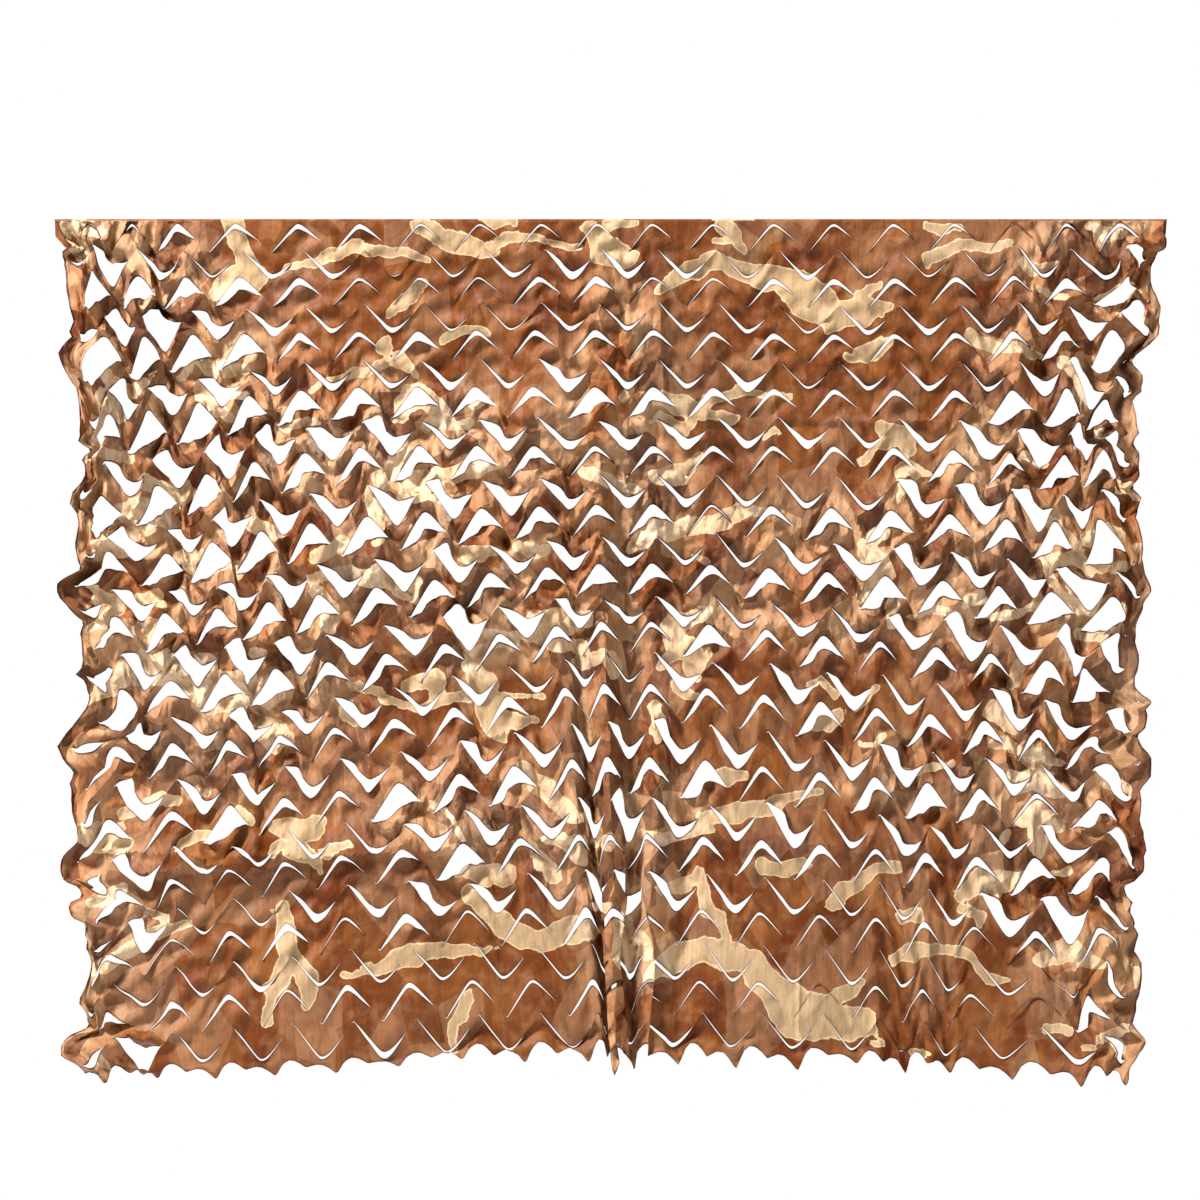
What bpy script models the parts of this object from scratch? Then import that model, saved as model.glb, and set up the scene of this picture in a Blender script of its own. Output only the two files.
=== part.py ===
"""Desert camouflage netting: one sheet of printed cloth, die cut with curved slits.

Metres, +Z up. The origin is the middle of the top edge, which is folded over the line that
holds it. The net hangs down from there and shows its face to -Y.

Rows of slits follow one wave across the cloth. In each repeat an arch slit is cut over a
crest of the wave and a cup slit under the next trough, half a row lower. Between an arch
line and the cup line under it lies a loose ribbon, which straightens as the slits open.
Between a cup line and the next arch line lies a stiffer ribbon, which keeps its wave.
Places on the cloth are given as (column, row): column counts arch slits from the left,
row counts arch lines from the top, and a fraction is part of a pitch.
"""

import bmesh
import bpy
import numpy as np

NAME = "camouflage netting"
NODE = "netting_panel"
CLOTH_COLOUR = (0.36, 0.17, 0.075, 1.0)
CLOTH_ROUGHNESS = 0.6

# ---- Driving dimensions ---------------------------------------------------------------
THICKNESS = 0.0016
PITCH = 0.104                      # one repeat of the slits across the cloth
LAST_COLUMN = 18                   # arch slits are counted from 0
LAST_ROW = 13                      # the arch line that ends the cloth at its lower edge
EDGE_COLUMNS = (-0.7, 18.8)        # where the cloth ends at its sides
WAVE = 0.53                        # wave height as a share of one row's height
RIBBON = 0.44                      # the loose ribbon's share of one row's height

# The two slits of a repeat, in pitches from the crest of the arch.
ARCH_LEFT, ARCH_RIGHT = -0.42, 0.38
CUP_LEFT, CUP_RIGHT = 0.08, 0.89
CUP_LOW = 0.56                     # the trough of the cup
ROUNDING = 0.12                    # how round a long leg meets its crest and its trough
ARCH_BEND, CUP_BEND = 1.8, 1.5     # how late a short leg turns down, or up

# Fold over the line along the top edge, and the flap behind it.
FOLD_RADIUS = 0.004
FLAP_DROP = 0.050
FLAP_LEAN = 0.008

# Lower edge: a bitten hem, its drop below the last arch line in shares of the wave.
HEM_POINTS = ((0.0, 0.0), (0.28, 0.34), (0.50, 0.16), (0.78, 0.52))

# ---- How this net hangs ---------------------------------------------------------------
# Drop of the arch crests below the top edge, one row a line, at five columns.
DROP_COLUMNS = (1, 4, 9, 14, 17.5)
DROPS = {
    #     left  inner left  centre  inner right  right
    0: (0.009, 0.009, 0.009, 0.009, 0.008),
    2: (0.200, 0.196, 0.191, 0.198, 0.188),
    4: (0.458, 0.403, 0.391, 0.394, 0.410),
    6: (0.684, 0.647, 0.594, 0.615, 0.646),
    8: (0.907, 0.876, 0.799, 0.842, 0.880),
    10: (1.133, 1.093, 1.056, 1.083, 1.111),
    12: (1.343, 1.317, 1.310, 1.321, 1.348),
    13: (1.457, 1.445, 1.426, 1.434, 1.457),
}
# Distance of the columns from the middle, one row a line.
ACROSS_COLUMNS = (-0.7, 0, 2, 4, 8, 9, 10, 11, 14, 16, 18, 18.8)
ACROSS = {
    0: (-0.955, -0.897, -0.744, -0.536, -0.117, -0.021, 0.074, 0.179, 0.489, 0.696, 0.880, 0.961),
    4: (-0.937, -0.868, -0.694, -0.525, -0.130, -0.025, 0.075, 0.178, 0.489, 0.684, 0.859, 0.930),
    8: (-0.925, -0.858, -0.658, -0.474, -0.077, -0.009, 0.071, 0.168, 0.456, 0.643, 0.840, 0.915),
    12: (-0.905, -0.850, -0.654, -0.450, -0.029, 0.012, 0.062, 0.155, 0.458, 0.622, 0.840, 0.905),
}
# How far the slits stand open: 0 is shut, 1 has the loose ribbon pulled straight.
SHUT = 0.13
OPEN_SPOTS = (
    # across, drop, reach across, reach down, opening
    (-0.86, 0.20, 0.16, 0.16, 0.75),
    (-0.80, 0.50, 0.20, 0.22, 0.70),
    (-0.50, 0.38, 0.26, 0.12, 0.55),
    (-0.18, 0.52, 0.26, 0.11, 0.60),
    (-0.60, 0.72, 0.26, 0.10, 0.70),
    (-0.22, 0.69, 0.15, 0.06, 0.80),
    (-0.70, 0.92, 0.20, 0.10, 0.35),
    (-0.18, 1.02, 0.22, 0.10, 0.50),
    (0.02, 0.30, 0.10, 0.25, 0.30),
    (0.03, 1.05, 0.12, 0.14, 0.45),
    (0.27, 0.62, 0.24, 0.12, 0.42),
    (0.56, 0.60, 0.18, 0.14, 0.55),
    (0.50, 0.95, 0.12, 0.06, 0.50),
    (0.80, 0.28, 0.15, 0.22, 0.75),
    (0.80, 0.65, 0.16, 0.22, 0.72),
    (0.80, 1.05, 0.14, 0.20, 0.60),
)
# Upright folds: at a column, over a span of rows, as wide as so many pitches, so deep.
FOLDS = (
    # column, first row, last row, width, depth
    (2.40, 3.0, 9.5, 0.30, 0.018),
    (5.10, 9.0, 14.0, 0.50, 0.008),
    (8.45, 7.5, 14.5, 0.26, -0.016),
    (9.00, 4.5, 14.5, 0.24, 0.021),
    (9.60, 6.0, 14.5, 0.24, -0.021),
    (10.15, 8.0, 14.5, 0.24, 0.018),
    (10.70, 9.0, 14.5, 0.26, -0.010),
    (15.50, 4.0, 9.0, 0.30, 0.014),
)
# Creases across the cloth, where it was packed: the cloth above hangs over the one below.
CREASES = (
    # left end, right end, drop at left, drop at right, overhang, reach above
    (-0.70, -0.05, 0.330, 0.345, 0.012, 0.06),
    (-0.85, -0.10, 0.735, 0.705, 0.016, 0.07),
    (-0.82, 0.00, 1.122, 1.060, 0.028, 0.10),
    (0.08, 0.66, 1.058, 1.095, 0.014, 0.07),
)
LEAN_SHARE = 0.55                  # how much of the spare ribbon length stands out of the face
DRAPE_DEPTH = 0.014                # slow unevenness of the whole sheet
CRUMPLE_DEPTH = 0.004
EDGE_CURL = 0.017                  # how far the side edges curl out of the face
EDGE_RAG = 0.011                   # how far they wander in and out
TAUT = 0.10                        # below the top edge, the cloth is drawn flat over this drop

# Stations in one repeat of each line, in pitches.
ARCH_STATIONS = (ARCH_LEFT, -0.20, 0.0, ARCH_RIGHT)
CUP_STATIONS = (CUP_LEFT, CUP_LOW, CUP_RIGHT)
FOLD_STATIONS = (0.0, 0.5)
CUP_GAPS = 50                      # the widest cup slits are cut as well
GAP_SEED, DRAPE_SEED, CRUMPLE_SEED, CURL_SEED, RAG_SEED = 5, 11, 12, 13, 17


# ---- Helpers --------------------------------------------------------------------------
def curve(at, stops, values):
    """Smooth curve through values at stops, read at the places `at`; straight past its ends.

    values has one row a stop, and a column for each place or one column for all of them.
    """
    stops = np.asarray(stops, float)
    values = np.asarray(values, float)
    if values.ndim == 1:
        values = np.repeat(values[:, None], len(at), axis=1)
    slopes = np.gradient(values, stops, axis=0)
    i = np.clip(np.searchsorted(stops, at) - 1, 0, len(stops) - 2)
    place = np.arange(len(at))
    span = stops[i + 1] - stops[i]
    t = (at - stops[i]) / span
    b = np.clip(t, 0.0, 1.0)
    a = 1 - b
    start, end = values[i, place], values[i + 1, place]
    start_slope, end_slope = slopes[i, place] * span, slopes[i + 1, place] * span
    smooth = (1 + 2 * b) * a * a * start + (1 + 2 * a) * b * b * end
    smooth += a * a * b * start_slope - a * b * b * end_slope
    return smooth + (t - b) * np.where(t < 0, start_slope, end_slope)


def read_table(table, stops, column, row):
    """Value of a table with named columns at each (column, row), smooth both ways."""
    rows = sorted(table)
    lines = np.array([curve(column, stops, table[r]) for r in rows])
    return curve(row, rows, lines)


def noise(x, z, size, seed):
    """Smooth seeded noise between -1 and 1, with lumps of about the given size."""
    cells = 64
    field = np.random.default_rng(seed).uniform(-1, 1, (cells, cells))
    gx, gz = x / size + cells / 2, z / size + cells / 2
    ix, iz = np.floor(gx).astype(int), np.floor(gz).astype(int)
    tx, tz = gx - ix, gz - iz
    tx, tz = tx * tx * (3 - 2 * tx), tz * tz * (3 - 2 * tz)
    left, right, low, high = ix % cells, (ix + 1) % cells, iz % cells, (iz + 1) % cells
    near = field[left, low] * (1 - tx) + field[right, low] * tx
    far = field[left, high] * (1 - tx) + field[right, high] * tx
    return near * (1 - tz) + far * tz


def fade(value, start, end):
    """0 before start, 1 after end, smooth between."""
    t = np.clip((value - start) / (end - start), 0.0, 1.0)
    return t * t * (3 - 2 * t)


# ---- The cut lines and their slits ----------------------------------------------------
def rounded(t):
    return t - ROUNDING * np.sin(2 * np.pi * t)


def arch_wave(column):
    """How far the arch line lies below its crest: 0 at the crest, 1 in the trough."""
    s = (column - ARCH_LEFT) % 1.0 + ARCH_LEFT
    long_leg = rounded(np.clip(s / ARCH_LEFT, 0, 1))
    short_leg = (np.clip(s, 0, 1) / (1 + ARCH_LEFT)) ** ARCH_BEND
    return np.where(s < 0, long_leg, short_leg)


def cup_wave(column):
    """The same for the cup line, whose trough is the bottom of the cup."""
    s = (column - CUP_LEFT) % 1.0
    reach = CUP_LOW - CUP_LEFT
    long_leg = rounded(np.clip(s / reach, 0, 1))
    short_leg = 1 - (np.clip(s - reach, 0, 1) / (1 - reach)) ** CUP_BEND
    return np.where(s < reach, long_leg, short_leg)


def bow(column, left, right, wave):
    """How far a slit bows off the chord between its ends, in wave heights; 0 off the slit."""
    s = (column - left) % 1.0
    ends = wave(np.array([left, right]))
    chord = ends[0] + (ends[1] - ends[0]) * s / (right - left)
    return np.where(s < right - left, np.abs(chord - wave(column)), 0.0)


ARCH_BOW = bow(np.array([0.0]), ARCH_LEFT, ARCH_RIGHT, arch_wave)[0]
CUP_BOW = bow(np.array([CUP_LOW]), CUP_LEFT, CUP_RIGHT, cup_wave)[0]


def spot_opening(across, drop):
    """How far the slits stand open near a place on the net."""
    opening = np.full(np.shape(across), SHUT)
    for x, z, reach_x, reach_z, amount in OPEN_SPOTS:
        opening += amount * np.exp(-((across - x) / reach_x) ** 2 - ((drop - z) / reach_z) ** 2)
    return np.minimum(opening, 0.95)


def gap_opening(column, row, left):
    """Opening of the slit whose left end is at `left` in its repeat; one value for each slit."""
    own = np.floor(column - left).astype(int)
    line = row.astype(int)
    vary = np.random.default_rng(GAP_SEED).uniform(0.75, 1.2, (2, LAST_ROW + 1, LAST_COLUMN + 4))
    middle = own + left + 0.4
    across = read_table(ACROSS, ACROSS_COLUMNS, middle, line + 0.3)
    drop = read_table(DROPS, DROP_COLUMNS, middle, line + 0.3)
    kind = 0 if left == ARCH_LEFT else 1
    own = np.clip(own, -2, LAST_COLUMN + 1)
    return spot_opening(across, drop) * vary[kind, np.clip(line, 0, LAST_ROW), own + 2]


# ---- Where a point of the cloth hangs -------------------------------------------------
def lip_places(lip, row, column):
    """Drop and slope of one lip of a cut line. Slope is 0 where a ribbon stands forward
    and 1 where it lies back."""
    crest = read_table(DROPS, DROP_COLUMNS, column, row)
    height = read_table(DROPS, DROP_COLUMNS, column, row + 1) - crest
    wave = WAVE * height
    arch_bow = bow(column, ARCH_LEFT, ARCH_RIGHT, arch_wave)
    cup_bow = bow(column, CUP_LEFT, CUP_RIGHT, cup_wave)
    arch_gap = wave * arch_bow * gap_opening(column, row, ARCH_LEFT)
    cup_gap = wave * cup_bow * gap_opening(column, row, CUP_LEFT)
    share = RIBBON + WAVE * (cup_wave(column) - arch_wave(column))
    arch_top = crest + wave * arch_wave(column)
    cup_top = arch_top + arch_gap + (height - arch_gap - cup_gap) * share
    if lip == "arch top":
        return arch_top, 0.5 + 0.5 * arch_wave(column)
    if lip == "arch low":
        return arch_top + arch_gap, 0.5 + 0.5 * arch_wave(column) - 0.5 * arch_bow / ARCH_BOW
    if lip == "cup top":
        return cup_top, 0.5 * cup_wave(column) + 0.5 * cup_bow / CUP_BOW
    return cup_top + cup_gap, 0.5 * cup_wave(column)


def stand_out(across, drop, column, row, slope):
    """How far the cloth stands towards the viewer: ribbons, folds, creases and unevenness."""
    opening = spot_opening(across, drop)
    spare = WAVE * PITCH * np.sqrt(1 - (1 - opening * ARCH_BOW) ** 2)
    side = np.tanh(3 * noise(across, drop, 0.30, DRAPE_SEED + 1))
    out = LEAN_SHARE * spare * side * (0.5 - slope)
    out += DRAPE_DEPTH * noise(across, drop, 0.28, DRAPE_SEED)
    out += CRUMPLE_DEPTH * noise(across, drop, 0.05, CRUMPLE_SEED)
    for at, first, last, width, depth in FOLDS:
        along = fade(row, first - 1, first + 1) * fade(-row, -last - 1, -last + 1)
        out += depth * np.exp(-((column - at) / width) ** 2) * along
    for left, right, drop_left, drop_right, overhang, reach in CREASES:
        crease = drop_left + (drop_right - drop_left) * (across - left) / (right - left)
        above = (crease - drop) / reach
        bulge = np.where((above > 0) & (above < 1), (1 - above) ** 2, 0.0)
        out += overhang * bulge * fade(across, left - 0.05, left) * fade(-across, -right - 0.05, -right)
    return out


def hang(drop, slope, column, row):
    """Points of the hung cloth, given how far down the face each lies."""
    across = read_table(ACROSS, ACROSS_COLUMNS, column, row)
    from_edge = np.minimum(column - EDGE_COLUMNS[0], EDGE_COLUMNS[1] - column)
    edge = np.exp(-(from_edge / 0.5) ** 2)
    outward = np.where(column < LAST_COLUMN / 2, -1.0, 1.0)
    rag = 0.5 * np.cos(2 * np.pi * row) + noise(across, drop, 0.045, RAG_SEED)
    curl = noise(across, drop, 0.06, CURL_SEED)
    free = fade(drop, 0.0, TAUT)
    out = stand_out(across, drop, column, row, slope) + EDGE_CURL * edge * curl
    x = across + EDGE_RAG * edge * outward * rag * free
    y = -FOLD_RADIUS - out * free
    return np.stack([x, y, -drop], axis=1)


def lip_points(lip, row, columns):
    column = np.array(columns, float)
    line_row = np.full(len(columns), float(row))
    drop, slope = lip_places(lip, line_row, column)
    half_row = 0.5 if lip.startswith("cup") else 0.0
    return hang(drop, slope, column, line_row + half_row)


def hem_points(columns):
    """The bitten lower edge, which follows the arch line under the last row."""
    column = np.array(columns, float)
    line_row = np.full(len(columns), float(LAST_ROW))
    stops, falls = zip(*HEM_POINTS, (1.0, 0.0))
    fall = np.interp(column % 1.0, stops, falls)
    drop = read_table(DROPS, DROP_COLUMNS, column, line_row) + WAVE * PITCH * fall
    return hang(drop, 0.5 * np.ones(len(column)), column, line_row)


# ---- Mesh -----------------------------------------------------------------------------
def stations(in_repeat, first, last):
    """Columns of a line's points, from one side edge to the other."""
    inner = [k + s for k in range(first, last + 1) for s in in_repeat]
    low, high = EDGE_COLUMNS[0] + 0.15, EDGE_COLUMNS[1] - 0.15
    return [EDGE_COLUMNS[0]] + [c for c in inner if low < c < high] + [EDGE_COLUMNS[1]]


def add_line(mesh, points):
    return [mesh.verts.new(p) for p in points]


def second_lip(mesh, upper, points, cut):
    """The lower lip of a line: new points inside its cut slits, shared points elsewhere."""
    return [mesh.verts.new(p) if is_cut else v for v, p, is_cut in zip(upper, points, cut)]


def strip(mesh, upper, lower):
    """Triangles between two lines, each a pair of columns and vertices, going right."""
    (upper_at, upper_v), (lower_at, lower_v) = upper, lower
    i = j = 0
    while i < len(upper_v) - 1 or j < len(lower_v) - 1:
        take_lower = i == len(upper_v) - 1
        if not take_lower and j < len(lower_v) - 1:
            take_lower = lower_at[j] + lower_at[j + 1] < upper_at[i] + upper_at[i + 1]
        if take_lower:
            mesh.faces.new((upper_v[i], lower_v[j], lower_v[j + 1]))
            j += 1
        else:
            mesh.faces.new((upper_v[i], lower_v[j], upper_v[i + 1]))
            i += 1


def widest_cups():
    """Row and column of the cup slits that stand open furthest."""
    places = [(r, c) for r in range(LAST_ROW) for c in range(LAST_COLUMN)]
    row = np.array([p[0] for p in places], float)
    column = np.array([p[1] for p in places], float) + CUP_LOW
    order = np.argsort(-gap_opening(column, row, CUP_LEFT), kind="stable")
    return {places[i] for i in order[:CUP_GAPS]}


def add_top_fold(mesh):
    """The cloth over the line: front, top and back of the fold, then the end of the flap."""
    at = stations(FOLD_STATIONS, 0, LAST_COLUMN)
    across = read_table(ACROSS, ACROSS_COLUMNS, np.array(at), np.zeros(len(at)))
    flap_end = FLAP_DROP + 0.12 * FLAP_DROP * noise(across, across, 0.11, RAG_SEED)
    sections = (
        (-FOLD_RADIUS, FOLD_RADIUS * np.ones(len(at))),
        (0.0, THICKNESS / 2 * np.ones(len(at))),
        (FOLD_RADIUS, FOLD_RADIUS * np.ones(len(at))),
        (FLAP_LEAN, flap_end),
    )
    lines = []
    for y, drops in sections:
        lines.append((at, add_line(mesh, [(x, y, -d) for x, d in zip(across, drops)])))
    front, top, back, end = lines
    strip(mesh, top, front)
    strip(mesh, back, top)
    strip(mesh, end, back)
    return front


def build_sheet():
    """The middle surface of the cloth, with its slits cut."""
    mesh = bmesh.new()
    arch_at = stations(ARCH_STATIONS, 0, LAST_COLUMN + 1)
    cup_at = stations(CUP_STATIONS, -1, LAST_COLUMN)
    open_cups = widest_cups()
    arch_cut = [ARCH_LEFT + 0.01 < (c - ARCH_LEFT) % 1.0 + ARCH_LEFT < ARCH_RIGHT - 0.01
                and c not in EDGE_COLUMNS for c in arch_at]
    above = add_top_fold(mesh)
    for row in range(LAST_ROW):
        upper = add_line(mesh, lip_points("arch top", row, arch_at))
        strip(mesh, above, (arch_at, upper))
        lower = second_lip(mesh, upper, lip_points("arch low", row, arch_at), arch_cut)
        cup_cut = [(row, round(c - CUP_LOW, 6)) in open_cups for c in cup_at]
        cup_upper = add_line(mesh, lip_points("cup top", row, cup_at))
        strip(mesh, (arch_at, lower), (cup_at, cup_upper))
        cup_lower = second_lip(mesh, cup_upper, lip_points("cup low", row, cup_at), cup_cut)
        above = (cup_at, cup_lower)
    hem_at = stations([s for s, fall in HEM_POINTS], 0, LAST_COLUMN)
    strip(mesh, above, (hem_at, add_line(mesh, hem_points(hem_at))))
    return mesh


# ---- Object ---------------------------------------------------------------------------
def clear_scene():
    for thing in list(bpy.data.objects):
        bpy.data.objects.remove(thing, do_unlink=True)


def cloth_material():
    material = bpy.data.materials.new("printed desert cloth")
    material.use_nodes = True
    shader = material.node_tree.nodes["Principled BSDF"]
    shader.inputs["Base Color"].default_value = CLOTH_COLOUR
    shader.inputs["Roughness"].default_value = CLOTH_ROUGHNESS
    shader.inputs["Metallic"].default_value = 0.0
    material.diffuse_color = CLOTH_COLOUR
    return material


def netting_panel(collection):
    data = bpy.data.meshes.new(NODE)
    sheet = build_sheet()
    sheet.to_mesh(data)
    sheet.free()
    data.materials.append(cloth_material())
    panel = bpy.data.objects.new(NODE, data)
    collection.objects.link(panel)
    solidify = panel.modifiers.new("cloth thickness", "SOLIDIFY")
    solidify.thickness = THICKNESS
    solidify.offset = 0.0
    return panel


def main():
    clear_scene()
    collection = bpy.data.collections.new(NAME)
    bpy.context.scene.collection.children.link(collection)
    netting_panel(collection)


main()
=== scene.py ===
"""Looks for the desert camouflage netting: the cut cloth as one fine open sheet.

Metres, in the frame's own axes: the net hangs down from its top edge and shows its face
to -Y. The slits, folds and creases repeat the construction of the part on a finer grid. The
cloth is then settled: its threads go back to the lengths they had when it was flat, so
ribbons that were pushed together buckle and crease.

A place on the cloth is (column, row): column counts arch slits from the left, row counts
arch lines from the top, and a fraction is part of a pitch. A place on the hung net is
(across, drop), from the middle of the top edge.
"""

import bpy
import numpy as np
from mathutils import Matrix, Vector


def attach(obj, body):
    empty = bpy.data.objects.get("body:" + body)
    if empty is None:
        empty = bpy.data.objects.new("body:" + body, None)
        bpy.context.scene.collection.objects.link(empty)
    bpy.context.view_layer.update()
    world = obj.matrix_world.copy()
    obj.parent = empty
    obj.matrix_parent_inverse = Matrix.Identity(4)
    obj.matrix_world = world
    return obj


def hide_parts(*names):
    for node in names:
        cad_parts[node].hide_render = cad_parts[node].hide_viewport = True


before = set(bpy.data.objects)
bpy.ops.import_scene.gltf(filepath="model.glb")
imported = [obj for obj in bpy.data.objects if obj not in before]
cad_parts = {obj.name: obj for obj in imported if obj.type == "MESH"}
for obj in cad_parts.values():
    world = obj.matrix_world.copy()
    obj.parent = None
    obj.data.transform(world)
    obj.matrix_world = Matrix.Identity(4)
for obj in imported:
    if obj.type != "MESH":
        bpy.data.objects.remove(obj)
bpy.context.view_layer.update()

NODE = "netting_panel"
BODY = "root"
PIECE = "desert_net_cloth"

# ---- The cut of the cloth, as in the part ----
PITCH = 0.104  # one repeat of the slits across the cloth
LAST_COLUMN = 18  # arch slits are counted from 0
LAST_ROW = 13  # the arch line that ends the cloth at its lower edge
EDGE_COLUMNS = (-0.7, 18.8)  # where the cloth ends at its sides
WAVE = 0.53  # wave height as a share of one row's height
RIBBON = 0.44  # the loose ribbon's share of one row's height
ARCH_LEFT, ARCH_RIGHT = -0.42, 0.38  # in pitches from the crest of the arch
CUP_LEFT, CUP_RIGHT = 0.08, 0.89
CUP_LOW = 0.56  # the trough of the cup
FOLD_RADIUS = 0.004  # of the top edge over its line
FLAP_DROP, FLAP_LEAN = 0.050, 0.008  # how long the flap behind is, and how far back it ends

# ---- How this net hangs, as in the part but for ACROSS ----
DROP_COLUMNS = (1, 4, 9, 14, 17.5)
DROPS = {
    # row: left, inner left, centre, inner right, right
    0: (0.009, 0.009, 0.009, 0.009, 0.008),
    2: (0.200, 0.196, 0.191, 0.198, 0.188),
    4: (0.458, 0.403, 0.391, 0.394, 0.410),
    6: (0.684, 0.647, 0.594, 0.615, 0.646),
    8: (0.907, 0.876, 0.799, 0.842, 0.880),
    10: (1.133, 1.093, 1.056, 1.083, 1.111),
    12: (1.343, 1.317, 1.310, 1.321, 1.348),
    13: (1.457, 1.445, 1.426, 1.434, 1.457),
}
# Columns 6 and 7 aren't in the part's table, and six other places are 2 to 8 mm off its own.
ACROSS_COLUMNS = (-0.7, 0, 2, 4, 6, 7, 8, 9, 10, 11, 14, 16, 18, 18.8)
ACROSS = {
    0: (-0.955, -0.897, -0.744, -0.536, -0.325, -0.223,
        -0.117, -0.021, 0.074, 0.179, 0.489, 0.696, 0.880, 0.961),
    4: (-0.937, -0.866, -0.694, -0.525, -0.328, -0.229,
        -0.130, -0.025, 0.075, 0.178, 0.489, 0.690, 0.859, 0.930),
    8: (-0.925, -0.850, -0.658, -0.474, -0.270, -0.176,
        -0.077, -0.009, 0.071, 0.168, 0.460, 0.646, 0.840, 0.915),
    12: (-0.905, -0.848, -0.654, -0.450, -0.236, -0.132,
         -0.029, 0.012, 0.062, 0.155, 0.458, 0.622, 0.840, 0.905),
}
SHUT, WIDEST = 0.13, 0.95  # opening of a slit in taut cloth, and the most that it gets
OPEN_SPOTS = (
    # across, drop, reach across, reach down, opening
    (-0.86, 0.20, 0.16, 0.16, 0.75),
    (-0.80, 0.50, 0.20, 0.22, 0.70),
    (-0.50, 0.38, 0.26, 0.12, 0.55),
    (-0.18, 0.52, 0.26, 0.11, 0.60),
    (-0.60, 0.72, 0.26, 0.10, 0.70),
    (-0.22, 0.69, 0.15, 0.06, 0.80),
    (-0.70, 0.92, 0.20, 0.10, 0.35),
    (-0.18, 1.02, 0.22, 0.10, 0.50),
    (0.02, 0.30, 0.10, 0.25, 0.30),
    (0.03, 1.05, 0.12, 0.14, 0.45),
    (0.27, 0.62, 0.24, 0.12, 0.42),
    (0.56, 0.60, 0.18, 0.14, 0.55),
    (0.50, 0.95, 0.12, 0.06, 0.50),
    (0.80, 0.28, 0.15, 0.22, 0.75),
    (0.80, 0.65, 0.16, 0.22, 0.72),
    (0.80, 1.05, 0.14, 0.20, 0.60),
)
FOLDS = (
    # column, first row, last row, width, depth
    (2.40, 3.0, 9.5, 0.30, 0.018),
    (5.10, 9.0, 14.0, 0.50, 0.008),
    (8.45, 7.5, 14.5, 0.26, -0.016),
    (9.00, 4.5, 14.5, 0.24, 0.021),
    (9.60, 6.0, 14.5, 0.24, -0.021),
    (10.15, 8.0, 14.5, 0.24, 0.018),
    (10.70, 9.0, 14.5, 0.26, -0.010),
    (15.50, 4.0, 9.0, 0.30, 0.014),
)
CREASES = (
    # left end, right end, drop at left, drop at right, overhang, reach above
    (-0.70, -0.05, 0.330, 0.345, 0.012, 0.06),
    (-0.85, -0.10, 0.735, 0.705, 0.016, 0.07),
    (-0.82, 0.00, 1.122, 1.060, 0.028, 0.10),
    (0.08, 0.66, 1.058, 1.095, 0.014, 0.07),
)
TAUT = 0.10  # below the top edge, the cloth is drawn flat over this drop
FINE_TAUT = 0.06  # and its fine creases are drawn flat over this

# ---- The slits, finer than the part's ----
STATIONS = 24  # points in one pitch of a line
INTERVALS = 7  # intervals across one ribbon
LONG_ROUND, ARCH_ROUND, CUP_ROUND = 0.14, 0.16, 0.30  # how round each leg leaves its apex
FIRST_ROW = 0.009  # drop of the first crests
ROW_FLAT = {0: 0.094, 3: 0.097, 6: 0.101, 9: 0.107, 13: 0.114}  # height of a row when flat
# How far each slit gapes, in steps with a for 10, b for 11 and c for 12. A string for each
# row, a letter for each slit from the left: arches from column 0, cups from column -1.
GAPE, GAPE_GROWTH = 0.0041, 1.26  # one step in metres, and how fast the steps grow
ARCH_GAPES = (
    "0132221111111111012", "8764311123112222238", "ba96323223222222359", "8997655435432223777",
    "a995655442322234477", "6888776653413455567", "5667766546535575688", "9577443343253424357",
    "5433233434333434535", "4383284635462348425", "5212237322233323356", "2123131233111112122",
    "3221221121011011106",
)
CUP_GAPES = (
    "3731220123321211122b", "98b43221122221222476", "86673323243231222585", "7577676343443323687b",
    "46586676644322257757", "55446665454224655796", "c6787558743423357675", "66454534231435535556",
    "66554444454563454448", "65222245447434243358", "46113344366432112686", "11121111112111111113",
    "58111211101211101124",
)
SHORTEST = 0.42  # a row keeps at least this share of its flat height beside its gaps
CORE_GAPE = 0.0004  # a slit marked 0 still shows as a line
MARGIN_SHUT, MARGIN_REACH = 0.05, 1.6  # slits near the side edges gape less, over so many columns
SIDE_BAND, SIDE_REACH = 0.20, 0.30  # whole cloth at a side edge, and how soon slits open by it
# How one slit differs from the next, each drawn evenly between two bounds.
SLIT_SEED = 5
SLIT_RANGES = {
    "amount": (0.88, 1.12),  # share of its gape
    "lean": (-0.15, 0.40),  # wider at its left end than at its right
    "corner": (0.36, 0.64),  # where along it the loose lip has its corner
    "bump": (0.02, 0.30),  # how far the loose lip stays behind there, in wave heights
    "blunt": (-0.35, 1.10),  # above 0, how square its left end stands open
    "square": (0.24, 0.44),  # how far along it the square end reaches
}
CUP_CORNER = 0.12  # a cup has its corner this much further along
BUMP_START = 0.4  # the bump begins at this share of the way to the corner
BUMP_GAPE = 0.03  # and is whole where the slit gapes this far
THINNEST = 0.25  # the bump leaves at least this share of the gape
SQUARE_TIP, SQUARE_FALL = 0.03, 0.14  # the square end starts so far along, and fades over this
SQUARE_GAPES = (0.012, 0.034)  # it shows from the first gape, and fully at the second
SQUARE_MOST = 0.62  # it takes at most this share of the loose ribbon's height
ARCH_SQUARE, CUP_SQUARE = 0.95, 0.8  # how far it draws each lip on, in wave heights
LIP_RAG, LIP_RAG_SIZE = 0.0030, 0.011  # unevenness of open lips, and the size of its lumps
RAG_GAPES = (0.004, 0.025)  # it shows from the first gape, and fully at the second
RAG_RISE, RAG_ROWS = 3, 3.3  # how soon it grows from a slit's ends; lumps from row to row

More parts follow.
